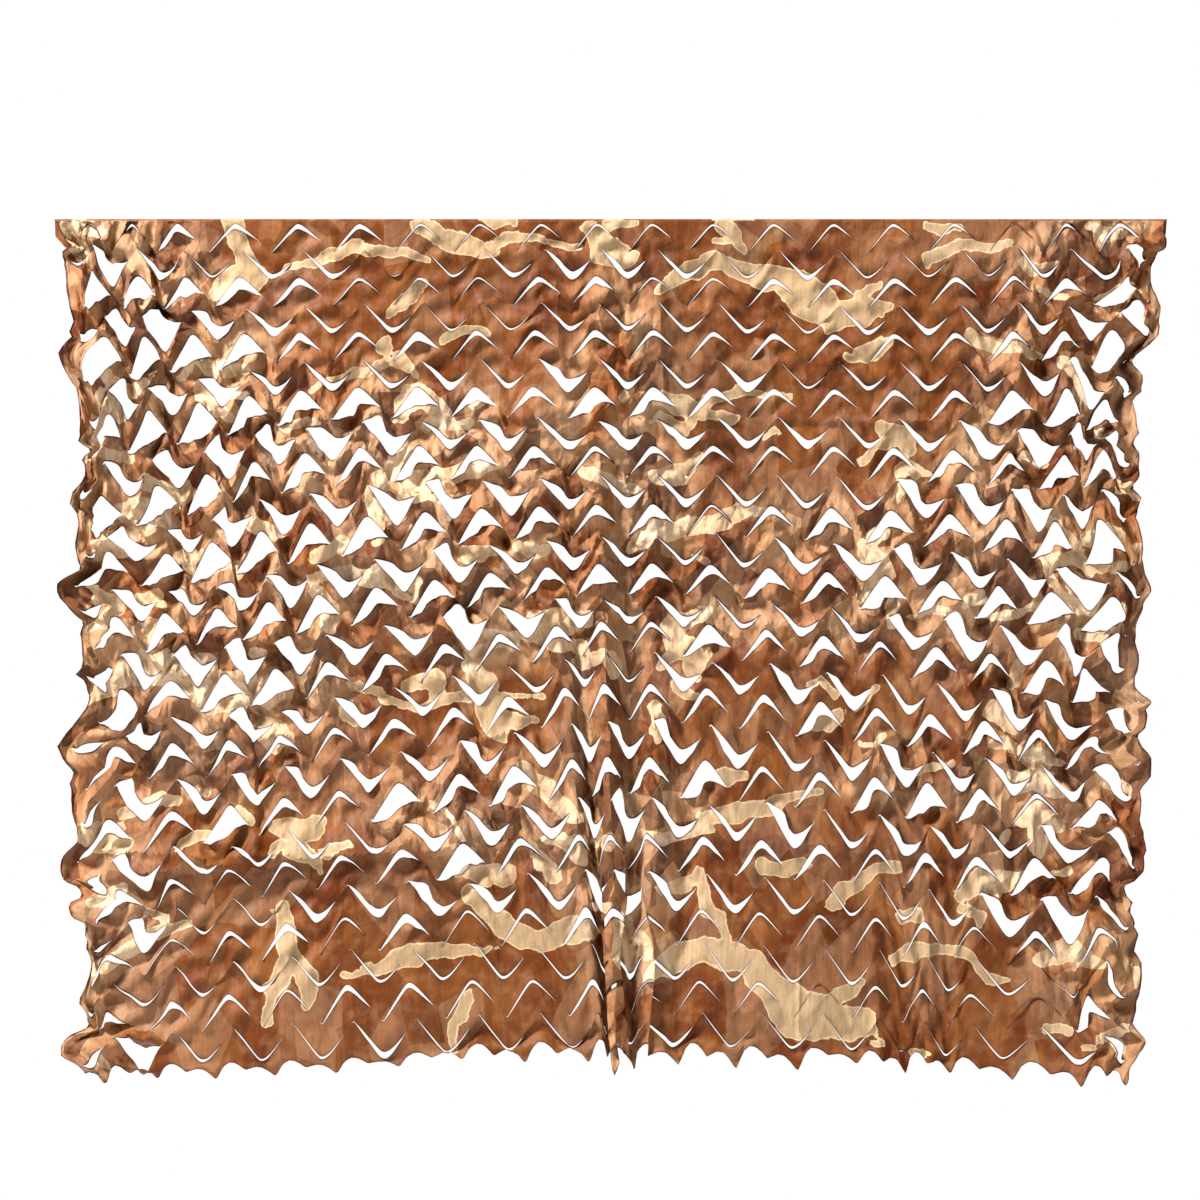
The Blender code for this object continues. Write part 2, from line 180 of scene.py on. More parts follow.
# ---- The edges ----
# Outlines of the left and the right edge: drop and across of each corner in millimetres.
SIDES = """
0 -950, 40 -940, 62 -936, 80 -961, 100 -954, 140 -947, 172 -934, 190 -938, 200 -926, 226 -943,
270 -900, 290 -915, 345 -936, 372 -947, 392 -908, 411 -932, 450 -911, 480 -931, 500 -934,
512 -912, 590 -899, 615 -888, 630 -915, 645 -937, 668 -945, 684 -922, 718 -898, 734 -924,
762 -931, 788 -921, 800 -943, 812 -918, 835 -903, 868 -914, 908 -947, 950 -894, 968 -924,
1010 -946, 1034 -931, 1062 -929, 1080 -951, 1126 -955, 1142 -912, 1160 -897, 1174 -929,
1196 -928, 1210 -904, 1255 -912, 1280 -905, 1338 -909, 1352 -895, 1378 -885, 1400 -922,
1434 -940, 1450 -920, 1470 -898 / 0 955, 58 961, 68 947, 115 922, 148 941, 164 926, 184 938,
248 899, 264 922, 284 935, 298 906, 350 918, 376 909, 388 935, 430 939, 468 909, 498 931,
514 927, 526 913, 560 918, 600 905, 640 925, 690 904, 722 904, 755 922, 800 903, 824 909,
836 931, 850 908, 884 920, 902 903, 928 918, 942 950, 970 940, 988 905, 1040 894, 1056 917,
1080 932, 1112 934, 1140 906, 1162 894, 1190 908, 1202 896, 1225 905, 1258 905, 1275 889,
1292 908, 1330 912, 1380 903, 1402 890, 1428 917, 1444 903, 1460 888
"""
BAND_REACH = 0.55  # in columns: how far in the side edge draws the cloth along
EDGE_TIP, TIP_TURN, TIP_LEAN = 0.016, 2.4, 1.7  # how far, and in what order, ribbon ends tip out
HEM = (
    # place in a pitch, fall in wave heights
    (0.00, 0.00), (0.10, 0.03), (0.20, 0.14), (0.28, 0.27), (0.34, 0.23),
    (0.45, 0.17), (0.56, 0.20), (0.66, 0.32), (0.74, 0.46), (0.78, 0.52),
    (0.83, 0.36), (0.90, 0.12), (1.00, 0.00),
)
# How deep each tip of the hem is against the next, from the pitch left of column 0.
HEM_TIPS = np.array((1.0, 0.9, 1.0, 0.9, 0.9, 0.7, 0.8, 1.4, 1.5, 1.9,
                     1.7, 1.4, 1.45, 1.45, 0.85, 1.2, 1.0, 1.2, 1.4, 1.0))
# By column: how many pitches the hem's pattern lies left of the cloth's, and how far it is lifted.
HEM_SHIFT = ((8.5, 0.0), (10.0, 0.10), (14.0, 0.12), (17.0, 0.05))
HEM_LIFT = ((4.5, 0.002), (6.0, 0.020), (8.0, 0.018), (9.0, 0.006), (11.0, 0.010), (14.0, 0.002))
FOLD_STEPS, FLAP_STEPS = 6, 7  # lines of the mesh round the top fold, and down the flap
FLAP_CLEAR = 0.002  # the flap ends this far above the uppermost slits

# ---- Folds and unevenness ----
# Fields of smooth seeded lumps: how high they are, how large, and their seed.
LUMPS = {
    "drape": (0.014, 0.28, 11),  # slow unevenness of the whole sheet
    "crumple": (0.004, 0.05, 12),
    "tipping": (3.0, 0.22, 12),  # which way the loose ribbons tip
    "edge curl": (0.017, 0.06, 13),
    "band crumple": (0.012, 0.020, 14),
    "edge rag": (0.004, 0.014, 17),
    "margin across": (0.030, 0.085, 18),  # how far slits near the side edges stray
    "margin down": (0.024, 0.085, 19),
    "pleats": (0.22, 1.3, 11),  # how far pleats stray, in pitches, over lumps in rows
    "folds across": (0.006, 0.07, 13),
    "folds down": (0.006, 0.07, 14),
    "facets": (0.07, 0.8, 51),  # how far facets stray, in pitches, over lumps in pitches
    "flap end": (0.12, 0.11, 17),  # as a share of the flap's length
    "flap": (0.003, 0.05, 3),
    "print across": (0.009, 0.060, 41),
    "print down": (0.009, 0.060, 42),
    "fine print across": (0.0055, 0.022, 43),
    "fine print down": (0.0055, 0.022, 44),
}
MARGIN_WIDE, MARGIN_HEM = 1.7, 0.8  # columns that stray, and the share that the last row is spared
LEAN_SHARE = 0.55  # how much of the spare ribbon length stands out of the face
CALM, CALM_END = 0.4, 0.45  # share of lean and crumple left in taut cloth, all at this opening
FORWARD = 0.45  # how far the loose ribbons prefer to tip their upper edge forward
CREASE_UNDER = 0.015  # a crease falls back to the sheet over this drop
CREASE_ENDS, CREASE_BULGE = 0.05, 1.5  # it fades out over this length; how hollow it rises
PLEATS = (
    # column, half width, first row, last row, overlap, depth
    (2.42, 0.26, 3.7, 8.8, 0.006, 0.009),
    (8.62, 0.30, 10.4, 15.0, 0.011, 0.007),
    (9.32, 0.27, 10.0, 15.0, 0.011, 0.008),
    (10.02, 0.30, 10.3, 15.0, 0.012, 0.007),
)
PLEAT_STEP = 7  # how far apart in their field of lumps pleats one column from each other read
# Places across a pleat, and how far each is pushed there as a share of overlap and depth.
PLEAT_SECTION = ((-1.0, -0.4, 0.4, 1.0), (0.0, 1.0, -1.0, 0.0))
LOOSE_OPENING = 0.55  # cloth is quite loose where its slits stand open this far
LOOSE_EDGE, LOOSE_REACH = 0.60, 1.5  # how loose the side edges make it, over so many columns
LOOSE_PLEATS, PLEATS_AT, PLEATS_REACH = 0.75, 9.3, 1.1  # and the pleats, at a column
PLEATS_START = (5.0, 8.5)  # between these rows the pleats begin to loosen the cloth
FACET_KEYS = (0.08, 0.38, 0.58, 0.87)  # places in a pitch where the facets of the cloth meet
FACET_DEPTH, FACET_TAUT = 0.0075, 0.26  # how far corners stand out, and the share on taut cloth
FACET_SEED = 51
TENTS = (
    # count, seed, from across, to, from drop, to, turn, spread, length, width, depth
    (240, 31, -0.96, 0.96, 0.02, 1.48, 0.0, 1.57, 0.060, 0.012, 0.0030),
    (120, 32, -0.96, 0.96, 0.02, 1.48, 0.8, 0.50, 0.110, 0.014, 0.0036),
    (120, 33, -0.96, 0.96, 0.02, 1.48, 1.5, 0.15, 0.110, 0.010, 0.0030),
    (110, 34, -0.10, 0.14, 0.03, 1.46, 1.57, 0.08, 0.150, 0.009, 0.0046),
    (70, 35, -0.96, -0.72, 0.03, 1.35, 1.2, 0.70, 0.060, 0.014, 0.0080),
    (60, 36, 0.76, 0.96, 0.10, 1.40, 1.3, 0.60, 0.060, 0.014, 0.0070),
)
TENT_LENGTHS, TENT_WIDTHS, TENT_DEPTHS = (0.5, 1.4), (0.6, 1.5), (0.3, 1.0)  # shares, drawn evenly
TENT_RIDGE = 0.4  # share of its half length that is at full depth
TENTS_SHUT, TENTS_OPEN = 0.22, 0.8  # share of depth on taut cloth, and the opening of the whole
LONG_FOLDS = (
    # across, drop at one end, across, drop at the other, half width, depth
    (-0.668, 0.36, -0.655, 0.99, 0.012, -0.009), (-0.640, 0.40, -0.646, 0.92, 0.014, 0.006),
    (0.030, 0.10, 0.042, 1.46, 0.010, 0.006), (0.052, 0.45, 0.060, 1.46, 0.012, -0.006),
    (-0.008, 0.60, 0.010, 1.47, 0.012, 0.007), (0.012, 0.90, 0.024, 1.47, 0.009, -0.007),
    (0.329, 1.18, 0.332, 1.46, 0.006, 0.003), (-0.09, 0.05, -0.075, 0.70, 0.010, 0.004),
    (0.085, 0.03, 0.100, 0.62, 0.009, 0.004), (0.690, 0.35, 0.700, 1.05, 0.014, 0.006),
    (-0.30, 0.385, 0.02, 0.350, 0.010, 0.006), (-0.78, 0.71, -0.40, 0.73, 0.010, 0.006),
    (-0.94, 1.085, -0.45, 1.098, 0.009, 0.006), (0.10, 1.075, 0.52, 1.100, 0.009, 0.005),
    (0.26, 0.350, 0.62, 0.345, 0.010, 0.005), (-0.45, 0.99, -0.10, 0.86, 0.010, 0.005),
)
LONG_FOLD_ENDS = 0.08  # a long fold fades out over this length

# ---- Settling ----
SETTLE_ROUNDS = 320
MOMENTUM, SETTLE_STEP = 0.8, 0.30  # shares of the last move kept, and of the pulls taken
THREADS = ((0, 1), (1, 0), (1, 1), (1, -1))  # lines and stations between two points of a thread
BRACES = ((0, 2), (2, 0), (0, 4), (3, 0))  # and between two that only push apart
BRACE_STIFFNESS = 0.35
HOLD = (0.06, 0.010, 0.06)  # how firmly a point is drawn back to where it hangs
LIP_HOLD = (0.25, 0.012, 0.25)  # the same for the lips of the slits
STRAIGHT_DEPTH, SPARE_DEPTH = 0.036, 0.012  # beyond the first, depth is eased into the second
SHARP_FOLD = 0.55  # folds that turn more than this, in radians, are drawn sharp

# ---- The print: tan blotches on brown, as chains of round knots ----
PRINT_REACH = 0.03  # distances from the print's outline are kept this far
LIP_REACH = 0.03  # and distances from the lips of the slits
# Across, drop and radius of each knot in millimetres, with a slash between two chains.
BLOTCHES = """
-650 0 18, -635 45 18, -610 95 28 / -625 90 15, -655 105 18, -680 135 10 /
-565 93 5, -440 52 13, -305 66 6 / -380 168 6, -348 143 14, -324 108 5 / -385 220 18 /
-360 235 8, -330 270 6 / -510 300 6, -450 270 10, -380 250 12 /
-885 255 12, -875 225 15, -855 215 12 / -710 245 8, -670 255 14, -620 255 6 /
-705 285 12, -685 315 18, -660 345 10 / -875 310 14, -840 300 16, -790 290 10 / -845 340 12 /
-920 410 8, -870 405 12, -830 410 10 / -800 455 12, -740 475 12 /
-565 355 6, -525 345 9, -490 350 4 / -360 335 14, -330 310 25, -300 315 20 / -305 362 15 /
-395 450 18, -370 420 20, -345 400 12 / -340 450 20, -300 440 20 / -420 475 12, -360 490 12 /
-835 515 18, -800 505 22, -755 525 12 / -885 585 12, -860 565 20, -820 545 12 /
-620 515 12, -590 540 16, -550 530 12 / -740 575 12, -715 585 20, -695 570 10 /
-640 605 10, -620 585 18, -600 570 15 / -505 590 12, -480 575 12, -460 560 12 /
-505 625 10, -440 615 14, -330 625 12 / -905 635 6, -870 655 8, -780 655 12 /
-900 700 6, -860 695 6, -840 700 6 / -800 700 15, -780 710 18 /
-835 790 18, -800 755 18, -760 770 18 / -760 755 20, -740 790 25, -700 800 20 /
-690 830 25, -650 830 30, -620 790 20 / -600 755 15 / -880 800 12, -860 810 12 /
-600 830 20, -570 810 20 / -590 870 20, -560 885 20 /
-445 800 6, -400 812 8, -390 826 8, -345 845 8, -290 838 9, -245 822 10 /
-340 800 14, -300 800 16, -285 830 12 / -245 770 14, -205 800 20 /
-915 1045 12, -880 1070 22, -850 1085 12 / -870 1045 12, -840 1050 12 /
-820 1020 10, -785 1005 14, -740 1000 10 / -745 1085 6, -710 1065 12, -670 1060 6 /
-575 1050 14, -530 1055 25, -505 1050 22 / -540 1090 16, -510 1100 14, -505 1125 6 /
-490 1090 6, -450 1070 6 / -730 1215 7, -800 1235 16, -885 1295 12 /
-900 1175 8, -860 1170 14, -840 1155 10 / -560 1190 18, -555 1215 16, -550 1250 22 /
-550 1250 20, -525 1300 22, -515 1345 10 / -560 1280 16, -575 1320 13, -590 1375 12 /
-585 1195 6 /
-452 1300 7, -410 1298 10, -380 1284 15, -340 1267 18, -290 1260 15, -240 1262 10, -190 1264 3 /
-435 1289 4, -412 1279 5 / -278 1428 4, -266 1398 11, -249 1372 15, -242 1342 10, -238 1322 5 /
-700 775 20, -665 795 26, -620 800 22 / -880 590 10, -850 570 16, -825 578 12 /
-760 520 10, -790 530 12 / -750 495 8, -722 472 10 / -705 600 10, -672 602 10 /
-640 612 9, -585 560 9 / -898 1048 12, -862 1056 16 / -830 1022 10, -762 1004 11 /
-862 1082 16, -832 1074 14 / -905 400 14, -880 385 14, -868 340 12 / -905 10 14, -878 20 12 /
-870 255 14, -845 300 12 / -815 655 12, -768 668 8 / -890 655 10, -845 650 8 /
-812 780 22, -790 762 22 / -590 880 16, -572 905 12 / -455 845 10, -440 870 8 /
-640 1010 8, -615 1030 8 / -930 20 12, -912 55 16 / -950 95 10 / -860 285 12, -855 330 14 /
-665 300 8, -610 300 6 / -740 270 5, -722 258 7 / -770 505 8, -735 480 14, -725 458 8 /
-880 690 8, -850 665 12 / -705 755 10, -680 770 14 / -715 985 8, -695 985 8 /
-575 1095 10, -560 1085 10 / -880 1440 10, -860 1455 8 / -800 1192 6, -775 1203 8 /
-650 598 8, -635 608 8 / -285 205 9, -240 190 12, -210 200 8 / -370 250 6, -340 262 8 /
-240 322 9, -218 305 6 / -385 515 14, -360 515 14 / -350 480 8, -305 475 6 /
-400 552 8, -388 548 6 / -340 630 7, -335 655 5 / -485 690 8, -475 710 10 /
-215 705 6, -190 720 12, -165 735 10 / -250 770 10, -220 750 12 /
-310 1003 4, -265 1035 5, -250 1060 6 / -415 1278 5, -405 1280 3 / -430 400 6, -415 385 4 /
-415 485 16, -395 515 20, -365 520 16 / -305 475 8, -255 478 9 /
-505 640 8, -490 670 12, -478 700 14 / -435 610 10, -395 615 14, -385 600 8 /
-375 635 8, -350 655 8 / -245 745 8, -215 735 10 / -895 835 8, -855 810 14, -815 775 18 /
-790 770 24, -720 790 30, -650 800 30 / -900 1060 16, -860 1070 22 / 0 5 10, 40 2 8 /
-100 45 5, -60 42 7 / 20 300 10, 35 288 8 / 110 715 18, 120 745 16, 92 765 10 /
165 760 12, 175 745 8 / -45 765 12, -20 750 10 / 92 850 8 / -105 990 16, -75 1010 15, -50 1025 8 /
-25 1070 10, -5 1065 12 / -25 1190 9, 0 1185 9 / 185 40 5, 215 35 7 /
700 985 8, 735 960 20, 775 985 14 / 745 1010 14, 765 1040 16 / 735 915 10, 775 940 8 /
850 965 12, 885 985 12 / 660 845 14, 690 865 16 / 300 125 20, 335 150 26, 370 175 18 /
400 172 16, 440 155 20, 470 165 14 / 410 240 6, 440 245 6 / 505 450 8, 500 485 6 /
500 1200 12, 540 1195 10 / 825 15 10, 845 30 12, 885 28 12 / 745 118 4, 790 138 5 / 878 168 8 /
925 182 9 / 715 415 8, 745 425 10 / 750 585 12, 800 575 12, 830 600 9 / 905 565 12 /
840 590 10, 875 600 10 / 885 680 12 / 685 1062 12 / 905 1305 8 / 475 390 16, 505 385 12 /
-320 5 15, -260 40 18, -200 55 8 / -210 45 8, -160 35 10, -110 45 6 /
-215 0 8, -190 10 12, -165 10 8 / -30 10 15, -10 50 30, 30 70 15 /
185 15 10, 210 25 12, 238 55 7 / 170 5 3, 210 6 4, 255 5 2 /
90 120 13, 140 90 20, 190 75 18, 270 105 24, 340 120 24 / 340 120 20, 370 150 30, 380 175 25 /
380 170 22, 440 160 30, 490 155 10 / 420 135 10, 465 108 8 / 85 310 15, 120 325 18, 160 335 20 /
170 310 12, 230 290 8, 310 300 6 / 160 335 12, 200 345 12, 210 340 8 /
-320 300 20, -300 320 22, -275 345 16 / -280 360 10, -240 355 10 /
90 350 12, 120 370 15, 140 355 10 / 265 375 4, 285 365 8, 300 370 4 /
-50 430 10, -10 445 16, 50 470 8 / 80 440 14, 120 430 20, 150 410 10 /
-290 440 12, -240 435 16, -200 420 8 / 45 565 14, 70 545 18, 100 535 15 /
100 545 20, 180 522 18, 230 505 13, 285 500 4 / -250 570 12, -220 575 12, -190 565 8 /
-160 560 8, -135 570 13, -110 570 10 / -130 690 20, -90 695 28, -40 690 15 /
-180 720 8, -120 715 20, -50 740 12 / 0 755 12, 5 780 12 / -240 760 12, -230 790 22, -210 830 30 /
-300 840 6, -260 825 10, -220 820 12 / -200 820 10, -160 830 5, -115 825 5 /
-190 860 12, -150 870 8, -125 865 8 / -210 840 30, -195 875 22, -180 895 4 /
100 700 12, 120 690 18, 160 680 12 / 110 720 15, 145 740 18, 150 780 12 / 120 800 12, 150 820 10 /
80 890 6, 85 860 10, 90 830 6 / 150 585 8, 165 590 8 / 180 950 8, 205 957 12, 230 955 6 /
-150 945 10, -130 970 16, -105 985 20 / 60 1050 8, 90 1065 12, 170 1050 10 /
160 1030 15, 220 1020 18, 280 1015 14 / 280 1005 10, 310 990 10, 360 985 6 /
-260 1125 16, -220 1130 20, -170 1125 16 /
-250 1160 8, -210 1190 16, -170 1235 22, -120 1245 16, -70 1230 16, -40 1225 18, -20 1230 10 /
-130 1080 10, -110 1110 14, -90 1145 10 / -100 1060 12, -60 1070 20, -50 1100 12 /
20 1210 15, 30 1250 16, 35 1300 8 / 55 1240 14, 60 1265 12 / 90 1150 8, 120 1140 14, 160 1130 10 /
150 1130 12, 165 1155 10, 165 1190 12, 190 1205 10, 205 1240 7 /
70 1310 12, 100 1280 22, 170 1255 22, 240 1280 24, 290 1330 28, 330 1370 40, 400 1385 30,
440 1385 28, 455 1390 12 / 370 1360 14, 420 1330 12, 440 1315 6 /
275 1115 16, 300 1120 18, 330 1110 14 / 380 1185 8, 400 1155 18, 430 1140 12 /
440 1130 12, 490 1120 10 / 550 10 8, 570 20 12, 600 20 6 /
540 70 10, 570 60 12, 610 50 10, 650 55 10, 690 45 6 / 715 75 12, 740 85 10, 770 80 4 /
620 200 10, 670 225 12, 740 235 10 / 430 235 10, 460 225 12, 490 205 4 /
830 140 4, 870 125 8, 910 130 6 / 770 240 10, 800 260 14, 820 310 10 /
470 370 14, 500 380 18, 520 400 14 / 440 420 8, 470 390 8 / 500 440 10, 520 430 14, 560 435 6 /
830 365 8, 855 360 8 / 870 460 10, 910 480 10 / 440 560 15, 460 550 15, 480 545 10 /
455 580 15, 465 610 18, 440 650 12 / 490 660 10, 485 690 10 / 520 680 6, 560 670 8, 600 675 6 /
610 655 12, 640 650 12 / 655 685 10, 700 680 8, 745 665 6 / 730 510 10, 780 535 12, 800 560 8 /
820 550 12, 860 530 12, 880 540 10 / 745 575 8, 755 620 10, 790 660 12, 820 675 12, 840 655 10 /
885 670 12 / 810 710 8, 840 715 10, 880 700 10 / 700 800 10, 715 770 14, 730 750 10 /
665 850 20, 690 870 20 / 660 905 12, 700 910 12, 740 920 10 / 350 800 4, 370 790 6, 390 820 8 /
350 870 14, 370 870 18, 395 850 10 / 420 840 8, 440 820 8, 460 810 8 /
425 893 5, 455 897 6, 480 885 4 / 490 950 4, 540 945 8, 590 935 6 /
700 960 12, 740 965 16, 770 985 14 / 710 1030 15, 740 1020 22, 770 1040 15 /
735 1040 15, 740 1070 14, 745 1090 8 / 610 1160 10, 640 1140 22, 680 1145 20, 710 1130 10 /
610 1180 8, 635 1190 10, 640 1210 6 / 760 1125 6, 790 1120 6 /
505 1200 8, 530 1200 10, 545 1210 6 / 490 1280 10, 520 1265 18, 560 1265 12 /
570 1265 10, 600 1265 12, 630 1275 8, 660 1305 8, 700 1310 4 /
752 1272 16, 795 1266 22, 842 1282 12 / 755 1395 8, 800 1395 8 / 868 1408 12, 882 1434 12 /
832 1432 10 / 905 1290 9, 903 1318 7 / 525 1435 8, 545 1445 8 / 850 1410 12, 880 1400 12 /
460 1420 6, 470 1415 6
"""

# ---- Material and stage ----
FLAT = "flat cloth"  # the UV map: each point's place on the cloth when it is flat, in metres
COLOURS = {  # as sRGB, 0 to 255
    # Of the brown ground, on taut and on loosely hanging cloth: darker on taut cloth as painted
    # shade, paler where it hangs loose as painted light.
    "painted shade taut dark": (100, 48, 13),
    "painted shade taut pale": (126, 74, 34),
    "painted light hanging dark": (138, 78, 38),
    "painted light hanging pale": (178, 136, 98),
    # Painted highlight on the facets that catch the light.
    "painted highlight cells": (194, 160, 126),
    # Painted shade on the facets that turn from the light.
    "painted shade cells": (76, 25, 3),
    # Painted sheen: pale patches over the ground.
    "painted sheen": (184, 144, 106),
    # Painted highlight along the ridged lines that the streaks' bump also raises.
    "streaks": (206, 170, 138),
    # Of the print.
    "dark tan": (190, 156, 118),
    "pale tan": (210, 178, 142),
    # Painted sheen on the tan.
    "painted sheen on tan": (217, 193, 165),
    # Painted highlight on the tan's lit facets.
    "painted highlight on tan": (219, 201, 176),
    # Painted shade: the tan on taut cloth.
    "painted shade for tan on taut cloth": (166, 138, 102),
    "print outline": (228, 204, 166),
    # Multiplied over both: grain between the threads, and a painted shadow along the cut lips.
    "threads": (120, 76, 48),
    "lip": (112, 52, 24),
    # Of the light that skims the cloth.
    "sheen": (255, 204, 164),
}
SLANT, STRETCH = 0.35, 0.62  # turn of creases and patches in radians; they are longer than wide
THREAD_STRETCH = 0.07  # threads change shade this much more rarely down the cloth than across
OUTLINE_RAG = 0.011  # fine unevenness of the print's outline
PATCHES, WIDE_FACETS, FINE_FACETS = 15.0, 27.0, 55.0  # how many in a metre
TIPS = (0.26, 0.50, 0.22)  # how far the facets of each of these three sizes tip
WEAVE = 420.0  # scale of the wave textures, which makes about 1340 threads in a metre
SHARP_CREASES = ((24.0, 0.36), (60.0, 0.22))  # how many in a metre, and their slope
AMBIENT, AMBIENT_COLOUR = 0.155, (1, 0.83, 0.62, 1)
LIGHTS = (
    # name, place, aimed at, size, power
    ("key", (-3.4, -2.7, 3.6), (0.0, 0.0, -0.7), 1.2, 1000),
    ("fill", (3.0, -3.4, 0.3), (0.5, 0.0, -0.4), 1.6, 52),
    ("left fill", (-3.4, -3.0, 0.4), (-0.8, 0.0, -0.4), 1.6, 55),
    ("back", (2.6, 4.2, 2.6), (0.0, 0.0, -0.7), 2.0, 260),
)
CAMERA_PLACE, CAMERA_LENS = (-0.0155, -5.0, -0.656), 87.1
FLOOR_SIZE, FLOOR_LEVEL, FLOOR_GLOW = 5, -2.6, 0.25


# ---- Helpers ----
def read_chains(text):
    """The chains of a table written as text: an array each, with a row for every knot."""
    chains = text.split("/")
    return [np.array([knot.split() for knot in chain.split(",")], float) for chain in chains]


def curve(at, stops, values):
    """Smooth curve through values at stops, read at the places `at`; straight past its ends.

    values has one row a stop, and a column for each place or one column for all of them.
    """
    stops = np.asarray(stops, float)
    values = np.asarray(values, float)
    if values.ndim == 1:
        values = np.repeat(values[:, None], len(at), axis=1)
    slopes = np.gradient(values, stops, axis=0)
    i = np.clip(np.searchsorted(stops, at) - 1, 0, len(stops) - 2)
    place = np.arange(len(at))
    span = stops[i + 1] - stops[i]
    t = (at - stops[i]) / span
    b = np.clip(t, 0.0, 1.0)
    a = 1 - b
    start, end = values[i, place], values[i + 1, place]
    start_slope, end_slope = slopes[i, place] * span, slopes[i + 1, place] * span
    smooth = (1 + 2 * b) * a * a * start + (1 + 2 * a) * b * b * end
    smooth += a * a * b * start_slope - a * b * b * end_slope
    return smooth + (t - b) * np.where(t < 0, start_slope, end_slope)


def read_table(table, stops, column, row):
    """Value of a table with named columns at each (column, row), smooth both ways."""
    shape = np.broadcast(column, row).shape
    column = np.broadcast_to(column, shape).ravel()
    row = np.broadcast_to(row, shape).ravel()
    rows = sorted(table)
    lines = np.array([curve(column, stops, table[r]) for r in rows])
    return curve(row, rows, lines).reshape(shape)


def crest_drop(column, row):
    return read_table(DROPS, DROP_COLUMNS, column, row)


def place_across(column, row):
    return read_table(ACROSS, ACROSS_COLUMNS, column, row)


def noise(x, z, size, seed):
    """Smooth seeded noise between -1 and 1, with lumps of about the given size."""
    cells = 64
    field = np.random.default_rng(seed).uniform(-1, 1, (cells, cells))
    gx, gz = x / size + cells / 2, z / size + cells / 2
    ix, iz = np.floor(gx).astype(int), np.floor(gz).astype(int)
    tx, tz = gx - ix, gz - iz
    tx, tz = tx * tx * (3 - 2 * tx), tz * tz * (3 - 2 * tz)
    left, right, low, high = ix % cells, (ix + 1) % cells, iz % cells, (iz + 1) % cells
    near = field[left, low] * (1 - tx) + field[right, low] * tx
    far = field[left, high] * (1 - tx) + field[right, high] * tx
    return near * (1 - tz) + far * tz


def lumps(name, x, z):
    """Height of one of the fields in LUMPS at each place."""
    height, size, seed = LUMPS[name]
    return height * noise(x, z, size, seed)


def fade(value, start, end):
    """0 before start, 1 after end, smooth between."""
    t = np.clip((value - start) / (end - start), 0.0, 1.0)
    return t * t * (3 - 2 * t)


def between_rows(row, first, last):
    """1 between two rows, and a smooth change to 0 within one row of each."""
    return fade(row, first - 1, first + 1) * fade(-row, -last - 1, -last + 1)


def from_side_edge(column):
    """How many columns away the nearer side edge is."""
    return np.minimum(column - EDGE_COLUMNS[0], EDGE_COLUMNS[1] - column)


def near_side(column, reach):
    """1 at the side edges, falling off inwards over so many columns."""
    return np.exp(-(from_side_edge(column) / reach) ** 2)


# ---- The cut lines and their slits ----
def leg(t, round_share):
    """Rise of a leg from its apex at 0 to 1: round at the apex, then straight."""
    t = np.clip(t, 0, 1)
    top = np.sqrt(1 + round_share ** 2) - round_share
    return (np.sqrt(t * t + round_share ** 2) - round_share) / top


def arch_wave(column):
    """How far the arch line lies below its crest: 0 at the crest, 1 in the trough."""
    s = (column - ARCH_LEFT) % 1.0 + ARCH_LEFT
    long_leg = leg(s / ARCH_LEFT, LONG_ROUND)
    short_leg = leg(s / (1 + ARCH_LEFT), ARCH_ROUND)
    return np.where(s < 0, long_leg, short_leg)


def cup_wave(column):
    """The same for the cup line, whose trough is the bottom of the cup."""
    s = (column - CUP_LEFT) % 1.0
    reach = CUP_LOW - CUP_LEFT
    long_leg = 1 - leg((reach - s) / reach, LONG_ROUND)
    short_leg = 1 - leg((s - reach) / (1 - reach), CUP_ROUND)
    return np.where(s < reach, long_leg, short_leg)


def bow(kind, column):
    """How far a slit bows off the chord between its ends, in wave heights; 0 off the slit."""
    left, right, wave = kind["left"], kind["right"], kind["wave"]
    s = (column - left) % 1.0
    ends = wave(np.array([left, right]))
    chord = ends[0] + (ends[1] - ends[0]) * s / (right - left)
    return np.where(s < right - left, np.abs(chord - wave(column)), 0.0)


ARCH = {"left": ARCH_LEFT, "right": ARCH_RIGHT, "wave": arch_wave, "place": 0, "rag seed": 62}
CUP = {"left": CUP_LEFT, "right": CUP_RIGHT, "wave": cup_wave, "place": 1, "rag seed": 61}
ARCH["bow"] = bow(ARCH, np.array([0.0]))[0]
CUP["bow"] = bow(CUP, np.array([CUP_LOW]))[0]


def bow_share(kind, column):
    """The bow as a share of the slit's deepest."""
    return bow(kind, column) / kind["bow"]


def spot_opening(across, drop):
    """How far the slits stand open near a place on the net."""
    opening = np.full(np.shape(across), SHUT)
    for x, z, reach_x, reach_z, amount in OPEN_SPOTS:
        opening += amount * np.exp(-((across - x) / reach_x) ** 2 - ((drop - z) / reach_z) ** 2)
    return np.minimum(opening, WIDEST)


def looseness(column, row, across, drop):
    """How loose and crumpled the cloth hangs at a place: 0 taut to 1."""
    pleated = np.exp(-((column - PLEATS_AT) / PLEATS_REACH) ** 2) * fade(row, *PLEATS_START)
    loose = fade(spot_opening(across, drop), SHUT, LOOSE_OPENING)
    loose += LOOSE_EDGE * near_side(column, LOOSE_REACH) + LOOSE_PLEATS * pleated
    return np.clip(loose, 0.0, 1.0)


def draw_slits():
    """Each slit's own character, for both kinds, by row and column from -1 on."""
    draw = np.random.default_rng(SLIT_SEED)
    shape = (2, LAST_ROW, LAST_COLUMN + 3)
    return {name: draw.uniform(low, high, shape) for name, (low, high) in SLIT_RANGES.items()}


